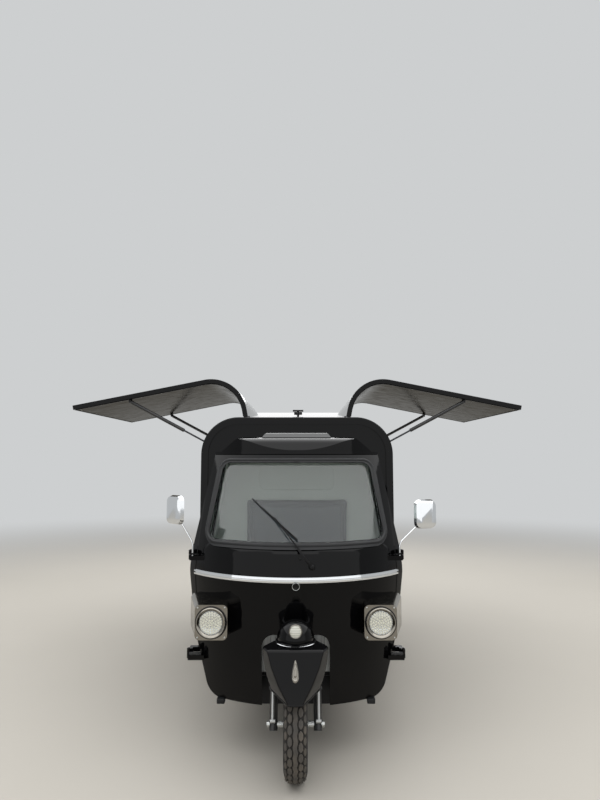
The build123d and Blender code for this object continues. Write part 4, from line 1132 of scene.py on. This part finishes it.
# Mirrors: shells, glass, stems, ball joints and clamps
mirror_table = [
    # side, centre across, height, turn about the upright
    (1, 0.676, 1.162, 12),
    (-1, 0.636, 1.184, 38),
]
mirror_station = -1.345
shells, panes, stems, joints = [], [], [], []
for side, across, height, turn in mirror_table:
    shell = block((-0.060, 0.060), (-0.015, 0.015), (-0.075, 0.075))
    pick(shell, "EDGE", lambda edge: span(shell, edge).y > 0.01)
    bpy.ops.mesh.bevel(offset=0.030, segments=6)
    pick(shell, "FACE", lambda face: face.normal.y < -0.9)
    bpy.ops.transform.resize(value=(0.90, 1, 0.92))
    bpy.ops.transform.translate(value=(0, 0.010, 0))
    for thickness, step in ((0.012, -0.006), (0.014, -0.003)):
        bpy.ops.mesh.inset(thickness=thickness)
        bpy.ops.transform.translate(value=(0, step, 0))
    pick(shell, "FACE", lambda face: face.normal.y > 0.9)
    bpy.ops.mesh.inset(thickness=0.004)
    bpy.ops.mesh.extrude_region_move(TRANSFORM_OT_translate={"value": (0, -0.003, 0)})
    pane = block((-0.0555, 0.0555), (0.0118, 0.0142), (-0.0705, 0.0705))
    pick(pane, "EDGE", lambda edge: span(pane, edge).y > 0.002)
    bpy.ops.mesh.bevel(offset=0.026, segments=6)
    ready()
    for part in (shell, pane):
        part.data.transform(Matrix.Rotation(math.radians(side * turn), 4, "Z"))
        part.data.transform(Matrix.Translation((side * across, mirror_station, height)))
    shells.append(shell)
    panes.append(pane)
    foot = Vector((side * 0.539, -1.328, 0.949))
    knee = Vector((side * 0.539, -1.328, 1.012))
    top = Vector((side * (across - 0.012), mirror_station + 0.014, height - 0.030))
    stems.append(tube([foot, knee, top], 0.005, 0.025))
    joints.append(turned(top, top - knee, [(-14, 5), (-10, 9), (0, 11), (8, 9), (11, 0)], 24))
    clamp_foot = foot + Vector((0, 0, 0.004))
    joints.append(turned(clamp_foot, ALONG_Z, [(0, 5), (0, 10), (9, 10), (10, 5), (0, 5)], 6))
shells = done(join(shells), "mirror_shells", chrome)
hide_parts("mirrors")
done(join(panes), "mirror_panes", chrome)
done(join(stems), "mirror_stems", chrome, 50)
done(join(joints), "mirror_joints", abs_black)

# Wiper: a channelled arm with its hook, and a blade of bridges and a rubber, placed in front view
wiper_pivot = (0.078, 0.925)
wiper_joint = (-0.098, 1.133)
blade_low = (0.008, 1.048)
blade_high = (-0.232, 1.240)


def along_nose(start, end, proud_start, proud_end, count):
    """Points that follow the nose between two places in front view."""
    points = []
    for index in range(count + 1):
        share = index / count
        across = start[0] + (end[0] - start[0]) * share
        height = start[1] + (end[1] - start[1]) * share
        points.append(nose_point(across, height, proud_start + (proud_end - proud_start) * share))
    return points


def flat_bar(points, width, thickness, edge=0.0008):
    """A flat bar along points on the nose: a plate swept from point to point."""
    ready()
    sideways = (points[-1] - points[0]).normalized().cross(-ALONG_Y).normalized()
    bpy.ops.mesh.primitive_circle_add(vertices=4, radius=1, fill_type="NGON")
    piece = bpy.context.object
    for vertex, (across, out) in zip(piece.data.vertices, [(-1, 0), (1, 0), (1, 1), (-1, 1)]):
        vertex.co = points[0] + sideways * (across * width / 2) - ALONG_Y * (out * thickness)
    whole(piece)
    for before, after in zip(points, points[1:]):
        bpy.ops.mesh.extrude_region_move(TRANSFORM_OT_translate={"value": after - before})
    ready()
    return ease_edges(mend(piece), edge, 50)


arm_points = along_nose(wiper_pivot, wiper_joint, 0.020, 0.016, 8)
arm = flat_bar(arm_points[:4], 0.012, 0.007)
slim_arm = flat_bar(arm_points[3:], 0.007, 0.004)
pivot_rows = [(0, 16), (12, 15), (20, 12), (24, 6), (24, 0)]
pivot_cap = turned(nose_point(*wiper_pivot, 0.004), (0, -1, 0.15), pivot_rows, 28)
hook = flat_bar(along_nose((-0.089, 1.122), (-0.108, 1.146), 0.010, 0.010, 1), 0.010, 0.008)
bridge = flat_bar(along_nose((-0.022, 1.072), (-0.174, 1.194), 0.005, 0.005, 8), 0.006, 0.003)
wiper_arm = done(join([arm, slim_arm, pivot_cap, hook, bridge]), "wiper_arm", abs_black)
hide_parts("wiper")
spine = flat_bar(along_nose(blade_low, blade_high, 0.002, 0.002, 12), 0.0070, 0.0035)
lip = flat_bar(along_nose(blade_low, blade_high, -0.006, -0.006, 12), 0.003, 0.009, 0.0004)
done(join([spine, lip]), "wiper_rubber", rubber)
nozzle = turned(nose_point(0.020, 0.962, 0.0), (0, -1, 0.2), [(0, 7), (4, 7), (7, 4), (7, 0)], 16)
done(nozzle, "washer_nozzle", abs_black)

# Windscreen seal: a round bead over its lip, with the join at the top
screen_top = 1.4415
screen_line = rounded(
    [(0.478, 1.021, 0.059), (0.424, screen_top, 0.064), (-0.424, screen_top, 0.064), (-0.478, 1.021, 0.059)],
    8,
)
bead = loop_tube([nose_point(x, z, -0.002) for x, z in finely(screen_line, 0.05)], 0.0135, 5)
sleeve = tube([nose_point(x, screen_top, -0.002) for x in (-0.014, 0.014)], 0.0150, sides=5)
done(join([bead, sleeve]), "windscreen_seal_bead", rubber, 60)

# The ridge down the middle of the nose, and the round cap at its top
ridge_top = 0.838
ridge = flat_bar(along_nose((0, 0.640), (0, ridge_top), -0.001, -0.001, 6), 0.052, 0.016, 0.0075)
done(ridge, "nose_ridge", enamel, 40)
ridge_parts = [
    # name, finish, rows of distance and radius
    ("cap", abs_black, [(-3, 0), (-3, 17), (17, 17), (19, 15.5), (19.5, 12), (18, 10), (18.5, 0)]),
    ("rim", zinc, [(15, 17), (15, 18.6), (17, 19), (19, 18.6), (19.6, 17.6), (19, 16.6), (15, 17)]),
]
for name, finish, rows in ridge_parts:
    done(turned(nose_point(0, ridge_top), (0, -1, -0.06), rows, 40), "nose_ridge_" + name, finish, 40)

# Cast brackets ahead of the door hinges, each with two bolts
bracket = block((0.486, 0.548), (-1.3350, -1.3180), (0.4420, 0.4640), 0.003)
done(both_sides(bracket), "hinge_brackets", powder)
bolt = turned((0, 0, 0), -ALONG_Y, [(0, 0), (0, 6.2), (4, 6.2), (5, 5), (5, 0)], 6)
bolts = repeat(bolt, [(across, -1.3348, 0.4530) for across in (0.505, 0.534)])
done(both_sides(bolts), "hinge_bolts", powder, 30)

# A black rubber sheet behind the front wheel, painted shade that stands in for the shadowed ground seen
# through the nose's notch, and rubber buffers under the nose panel
# painted shade: a black sheet and bar where the ground behind the wheel lies in shadow
shade_sheet = block((-0.188, 0.188), (-1.336, -1.331), (0.213, 0.372), 0.0015)
shade_sheet_bar = block((-0.186, 0.186), (-1.340, -1.336), (0.352, 0.368), 0.001)
done(join([shade_sheet, shade_sheet_bar]), "painted_shade_sheet", rubber, 30)
buffer = block((0.355, 0.395), (-1.400, -1.360), (0.236, 0.262), 0.004)
done(both_sides(buffer), "nose_buffers", rubber, 30)

# Weather seals round the side openings, on both hoops
hoop_half = 0.622
hoop_high = 1.706
hoop_radius = 0.226
hoop_side = [(hoop_half, 0.600), *quarter(hoop_half - hoop_radius, hoop_high - hoop_radius, hoop_radius)]
hoop_line = hoop_side + [(-x, z) for x, z in reversed(hoop_side)]
for name, station in (("front", -0.3885), ("rear", 1.0485)):
    done(tube([(x, station, z) for x, z in hoop_line], 0.0034), f"{name}_hoop_seal", rubber, 60)

# Raised sides: polished liner, black edge frame and rivets, made shut and turned open
wing_foot = (0.6140, 0.5650)
wing_top = (0.3445, 1.6990)
wing_line = [wing_top, *reversed(quarter(0.395, 1.480, 0.2190)), wing_foot]
wing_front, wing_rear = -0.375, 1.035


def side_sheet(points, start, end, thickness):
    """A sheet that follows the side's inner face, from one station to another."""
    return sheet([[(x, station, z) for x, z in points] for station in (start, end)], thickness, (1, 0, 1))


def done_on_wings(piece, name, finish):
    """Raises a piece made on the shut left side and gives the right side its mirror image."""
    done_in_pairs(turn_about(piece, wing_hinge, "Y", -wing_angle), "wing", name, finish, 30)


done_on_wings(side_sheet(wing_line, wing_front + 0.004, wing_rear - 0.002, 0.0012), "liner", liner_sheet)
frame_bars = [
    side_sheet(wing_line, wing_front, wing_front + 0.008, 0.0030),
    side_sheet(wing_line, wing_rear - 0.004, wing_rear, 0.0030),
    side_sheet([(0.6140, 0.5700), wing_foot], wing_front, wing_rear, 0.0035),
    side_sheet([wing_top, (0.3520, 1.6990)], wing_front, wing_rear, 0.0035),
]
done_on_wings(join(frame_bars), "edge_frame", abs_black)
rivet = turned((0, 0, 0), -ALONG_X, [(0, 3.8), (1.4, 3.2), (2.2, 0)], 10)
rivet_face = 0.6127
places = [(rivet_face, wing_front + 0.08 + 0.156 * index, 0.582) for index in range(9)]
for station in (wing_front + 0.016, wing_rear - 0.016):
    places += [(rivet_face, station, 0.60 + 0.142 * index) for index in range(7)]
done_on_wings(repeat(rivet, places), "rivets", zinc)

# Seat: two vinyl pads, blown up with the cloth solver, with a sewn border and piping in its seam
seam_depth = 0.006


def stuffed(pad, voxel, limit):
    """Remeshes a pad and lets it swell, each point by no more than a limit."""
    shape(pad, "REMESH", mode="VOXEL", voxel_size=voxel)
    starts = [vertex.co.copy() for vertex in pad.data.vertices]
    only(pad)
    cloth = pad.modifiers.new("cloth", "CLOTH")
    cloth.settings.use_pressure = True
    cloth.settings.uniform_pressure_force = 4.0
    cloth.settings.effector_weights.gravity = 0.0
    for moment in range(1, 21):
        bpy.context.scene.frame_set(moment)
    bpy.ops.object.modifier_apply(modifier=cloth.name)
    bpy.context.scene.frame_set(1)
    for vertex, start in zip(pad.data.vertices, starts):
        step = vertex.co - start
        if step.length > limit:
            vertex.co = start + step * (limit / step.length)


def border_distance(across, up, half_width, half_height):
    """How far a point lies from a rectangle's outline."""
    wide = abs(across) - half_width
    high = abs(up) - half_height
    if wide > 0 and high > 0:
        return math.hypot(wide, high)
    return abs(max(wide, high))


def sewn_pad(name, piping_name, corners, swell, axis, way, face, back, hover, border):
    """A stuffed pad with a border sewn into its face and piping in the seam.

    axis, way: the direction that its face looks in
    face, back: where the sewn face starts, and where the pad ends behind
    hover: where the seam is looked for from, in front of the face
    border: the middle, half width and half height of the sewn line
    """
    pad = block(*corners, 0.022, 4)
    stuffed(pad, voxel=0.008, limit=swell)
    shape(pad, "SUBSURF", levels=1, render_levels=1)
    up = 3 - axis
    middle, half_width, half_height = border
    for vertex in pad.data.vertices:
        place = vertex.co
        if place[axis] * way > face * way:
            near = border_distance(place.x, place[up] - middle, half_width, half_height)
            place[axis] -= way * seam_depth * math.exp(-((near / seam_depth) ** 2))
        place[axis] = way * max(way * place[axis], way * back)
    seam = []
    for across, along in finely(rounded_box(half_width, half_height, 0.03), 0.03):
        start = Vector((across, 0, 0))
        start[axis], start[up] = hover, along + middle
        spot, normal = pad.closest_point_on_mesh(start)[1:3]
        seam.append(spot + normal * 0.0005)
    piping = loop_tube(seam, 0.0032)
    done(pad, name, vinyl, 60)
    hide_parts("bench_seat")
    done(piping, piping_name, vinyl, 60)


sewn_pad(
    "seat_cushion",
    "seat_piping",
    corners=((-0.404, 0.404), (-0.918, -0.511), (0.606, 0.674)),
    swell=0.014,
    axis=2,
    way=1,
    face=0.640,
    back=0.6008,
    hover=0.70,
    border=(-0.715, 0.352, 0.152),
)
sewn_pad(
    "back_rest",
    "back_rest_piping",
    corners=((-0.337, 0.337), (-0.553, -0.490), (0.711, 1.191)),
    swell=0.012,
    axis=1,
    way=-1,
    face=-0.525,
    back=-0.4870,
    hover=-0.58,
    border=(0.951, 0.296, 0.196),
)

# Cab linings: a pressed rib behind the seat, door and pillar sheets, and a floor mat
rib_line = [(x, -0.4865, z + 1.322) for x, z in finely(rounded_box(0.250, 0.079, 0.04), 0.05)]
done(loop_tube(rib_line, 0.0035), "rear_lining_rib", lining, 60)


def inner_sheet(heights, stations, inset, thickness):
    """A sheet that follows the cab's left side on its inner face."""
    rows = [[side_point(station, height, -inset) for height in heights] for station in stations]
    return ease_edges(sheet(rows, thickness, ALONG_X), 0.001, 60)


door_heights = [0.395, 0.540, 0.580, 0.700, 0.827, 0.870, 0.913, 0.948]
door_sheet = inner_sheet(door_heights, [-1.235, -1.100, -0.950, -0.800, -0.662], 0.0278, 0.003)
pocket = inner_sheet([0.440, 0.540, 0.580], [-1.180, -1.000, -0.800], 0.0315, 0.026)
arm_rest = block((0.488, 0.5255), (-1.060, -0.780), (0.760, 0.792), 0.010, 3)
done_in_pairs(door_sheet, "door", "lining", lining)
done_in_pairs(pocket, "door", "pocket", abs_black)
done_in_pairs(arm_rest, "door", "arm_rest", vinyl, 50)
pillar_heights = [0.400, 0.540, 0.580, 0.827, 0.870, 0.913, 1.200, 1.452]
pillar_sheet = inner_sheet(pillar_heights, [-0.630, -0.492], 0.0262, 0.003)
done(both_sides(pillar_sheet), "rear_pillar_linings", lining)
mat_top = 0.3750
mat = [block((-0.395, 0.395), (-1.255, -0.918), (0.3703, mat_top), 0.001)]
for index in range(21):
    station = -1.245 + 0.0158 * index
    mat.append(block((-0.385, 0.385), (station - 0.003, station + 0.003), (mat_top, 0.3775), 0.0008, 1))
done(join(mat), "floor_mat", rubber)

# Steering: ribbed grips, levers, switch blocks and an instrument pod
grip_rows = [(-6, 0), (-6, 19.5), (-2, 21.0), (2, 19.0)]
for start in range(6, 114, 9):
    grip_rows += [(start, 17.6), (start + 2, 19.2), (start + 6, 19.2), (start + 8, 17.6)]
grip_rows += [(119, 17.0), (119, 0)]
lever_line = [(0.140, -1.292, 0.912), (0.175, -1.285, 0.915), (0.262, -1.205, 0.930), (0.285, -1.175, 0.936)]
for side, name in ((1, "left"), (-1, "right")):
    grip_start = Vector((side * 0.262, -1.150, 0.930))
    grip_end = Vector((side * 0.170, -1.2414, 0.9148))
    grip = turned(grip_start, grip_end - grip_start, grip_rows, 28)
    done(grip, f"{name}_grip", rubber, 30, "steering")
    lever_points = [(side * x, y, z) for x, y, z in lever_line]
    lever = tube(lever_points, 0.0048, 0.02)
    knob = turned(lever_points[-1], (side * 0.6, 0.75, 0.1), [(-5, 0), (-5, 6), (0, 8), (5, 6), (6, 0)], 16)
    done(join([lever, knob]), f"{name}_lever", zinc, 40, "steering")
    switch = block((-0.020, 0.020), (-0.022, 0.022), (-0.022, 0.022), 0.006, 3)
    switch.data.transform(Matrix.Rotation(math.radians(-45 * side), 4, "Z"))
    switch.data.transform(Matrix.Translation((side * 0.146, -1.2655, 0.911)))
    done(switch, f"{name}_switch_block", abs_black, 35, "steering")
pod = block((-0.105, 0.105), (-1.345, -1.262), (0.918, 0.985), 0.016, 4)
done(pod, "instrument_pod", abs_black, 40, "steering")
dial_dir = Vector((0, 0.8, 0.6))
dial_rows = [(-14, 0), (-14, 27), (2, 28), (4, 27), (4, 25), (1, 24), (1, 0)]
pane_rows = [(1.2, 0), (1.2, 23.8), (3.0, 23.8), (3.4, 0)]
for across, name in ((-0.048, "speed"), (0.048, "charge")):
    middle = Vector((across, -1.266, 0.968))
    done(turned(middle, dial_dir, dial_rows, 40), f"{name}_dial", zinc, 35, "steering")
    done(turned(middle, dial_dir, pane_rows, 40), f"{name}_dial_pane", lamp_clear, 35, "steering")


def fork_point(across, reach, back):
    """A point beside the fork, by its distance up the leg from the axle and how far behind it."""
    sine, cosine = math.sin(steering_tilt), math.cos(steering_tilt)
    station = front_axle.y + reach * sine + back * cosine
    return Vector((across, station, front_axle.z + reach * cosine - back * sine))


# Fork: bellows over each stanchion, and a clamped damper tube before each leg
leg_dir = fork_point(0, 1, 0) - fork_point(0, 0, 0)
bellows_rows = [(0, 18.6), (0, 22.0), (6, 22.5)]
for index in range(9):
    bellows_rows += [(10 + index * 9, 17.5), (14.5 + index * 9, 22.0)]
bellows_rows += [(94, 18.0), (98, 17.0), (98, 14.2), (0, 14.2), (0, 18.6)]
bellows = turned(fork_point(0.102, 0.166, 0), leg_dir, bellows_rows, 28)
done(both_sides(bellows), "fork_bellows", rubber, 30, "steering")
damper = tube([fork_point(0.106, reach, -0.021) for reach in (0.016, 0.170)], 0.0068, 0.0, 5)
eye = turned(fork_point(0.094, 0.012, -0.021), ALONG_X, [(0, 0), (0, 9), (24, 9), (24, 0)], 20)
done(both_sides(join([damper, eye])), "fork_dampers", silver, 40, "steering")
clamp = block((0.080, 0.124), (-0.020, 0.020), (-0.008, 0.008), 0.004)
clamp.data.transform(Matrix.Rotation(-steering_tilt, 4, "X"))
clamp.data.transform(Matrix.Translation(fork_point(0, 0.150, -0.004)))
done(both_sides(clamp), "fork_clamps", powder, 35, "steering")

# Doors: window seals, lever handles and locks
sill, head = 0.965, 1.400
window_corners = [(-1.2211, sill, 0.03), (-0.9482, head, 0.02), (-0.688, head, 0.025), (-0.688, sill, 0.03)]
window_seal = loop_tube([side_point(y, z) for y, z in finely(rounded(window_corners), 0.1)], 0.0058)
done_in_pairs(window_seal, "door", "window_seal", rubber, 60)
lever_places = [(-0.700, 0.016), (-0.700, 0.030), (-0.790, 0.030), (-0.802, 0.014)]
lever = tube([side_point(station, 0.905, proud) for station, proud in lever_places], 0.0062, 0.012)
rose_rows = [(0, 0), (0, 20), (5, 19), (8, 12), (8, 0)]
rose = turned(side_point(-0.700, 0.905, 0.008), (1, 0, 0.15), rose_rows, 32)
lock_rows = [(0, 0), (0, 11), (4, 10.5), (5, 8), (3.4, 7.4), (3.4, 0)]
lock = turned(side_point(-0.700, 0.845, -0.001), (1, 0, -0.1), lock_rows, 28)
done_in_pairs(join([lever, rose, lock]), "door", "handle", chrome, 40)

# Kiosk: counter nosings, pressed panels and pulls, and the light strip
nosing = block((0.5545, 0.5640), (-0.388, 1.048), (0.886, 0.9015), 0.004, 3)
done(both_sides(nosing), "counter_nosings", stainless, 40)
panel_stations = (-0.130, 0.330, 0.790)
panel = plate([(0.5600, y, z) for y, z in rounded_box(0.205, 0.130, 0.022)], 0.0035, ALONG_X, 0.0015)
panels = repeat(panel, [(0, station, 0.715) for station in panel_stations])
done(both_sides(panels), "counter_panels", stainless, 30)
pull_line = [(0.5630, -0.050, 0.0), (0.5800, -0.050, 0.0), (0.5800, 0.050, 0.0), (0.5630, 0.050, 0.0)]
pulls = repeat(tube(pull_line, 0.0042, 0.010), [(0, station, 0.815) for station in panel_stations])
done(both_sides(pulls), "counter_pulls", abs_black, 50)
done(block((-0.024, 0.024), (-0.180, 0.840), (1.6860, 1.7005), 0.003), "light_strip_body", silver)
done(block((-0.018, 0.018), (-0.170, 0.830), (1.6800, 1.6862), 0.003), "light_strip_lens", frosted_lens)


def opening_outline(inset):
    """The rear hatch opening's outline, drawn in by an inset: square feet, wide shoulders."""
    wide = 0.465 - inset
    foot = (0.960 + inset, 0.040 - inset)
    shoulder = (1.640 - inset, 0.150 - inset)
    return rounded([(-wide, *foot), (wide, *foot), (wide, *shoulder), (-wide, *shoulder)], 10)


# Hatch: a liner and a T-handle, made shut and turned open, and the seal of its opening
hatch_liner = plate([(x, hatch_inner + 0.0005, z) for x, z in opening_outline(0.012)], 0.002, -ALONG_Y)
turn_about(hatch_liner, hatch_hinge, "X", hatch_angle)
done(hatch_liner, "hatch_liner", liner_sheet, 30, "rear_hatch")
opening_line = [(x, 1.1240, z) for x, z in finely(opening_outline(0.0015), 0.1)]
done(loop_tube(opening_line, 0.0036), "hatch_opening_seal", rubber, 60)
handle_height = 1.020
stem_rows = [(0, 0), (0, 26), (8, 25), (10, 12), (44, 10), (44, 0)]
stem = turned((0, hatch_inner + 0.026, handle_height), ALONG_Y, stem_rows, 32)
bar = tube([(x, hatch_inner + 0.068, handle_height) for x in (-0.055, 0.055)], 0.010, 0.0, 5)
handle = ease_edges(join([stem, bar]), 0.001, 60, 1)
turn_about(handle, hatch_hinge, "X", hatch_angle)
done(handle, "hatch_handle", abs_black, 40, "rear_hatch")

# Rear and sides: lamp segments, blank plate, side markers
for name, finish, low, high in (("amber", amber_lens, 0.664, 0.712), ("clear", frosted_lens, 0.716, 0.738)):
    segment = block((0.5515, 0.5985), (1.1500, 1.1575), (low, high), 0.0025)
    done(both_sides(segment), "tail_lamp_" + name, finish)
plate_height = 0.735
plate_back = [(x, 1.1295, z + plate_height) for x, z in rounded_box(0.175, 0.065, 0.012)]
done(plate(plate_back, 0.004, ALONG_Y, 0.001), "blank_plate_holder", abs_black)
plate_face = [(x, 1.1332, z + plate_height) for x, z in rounded_box(0.165, 0.055, 0.008)]
done(plate(plate_face, 0.0014, ALONG_Y, 0.0005), "blank_plate", lining)
bolt = turned((0, 0, 0), ALONG_Y, [(0, 0), (0, 5), (2.5, 4.6), (3.4, 2.4), (3.4, 0)], 6)
bolts = repeat(bolt, [(x, 1.1348, plate_height) for x in (-0.150, 0.150)])
done(bolts, "blank_plate_bolts", zinc, 30)
marker = block((0.6445, 0.6495), (-0.045, 0.045), (-0.016, 0.016), 0.003, 3)
markers = repeat(marker, [(0, station, 0.440) for station in (-0.240, 0.930)])
done(both_sides(markers), "side_markers", amber_lens)
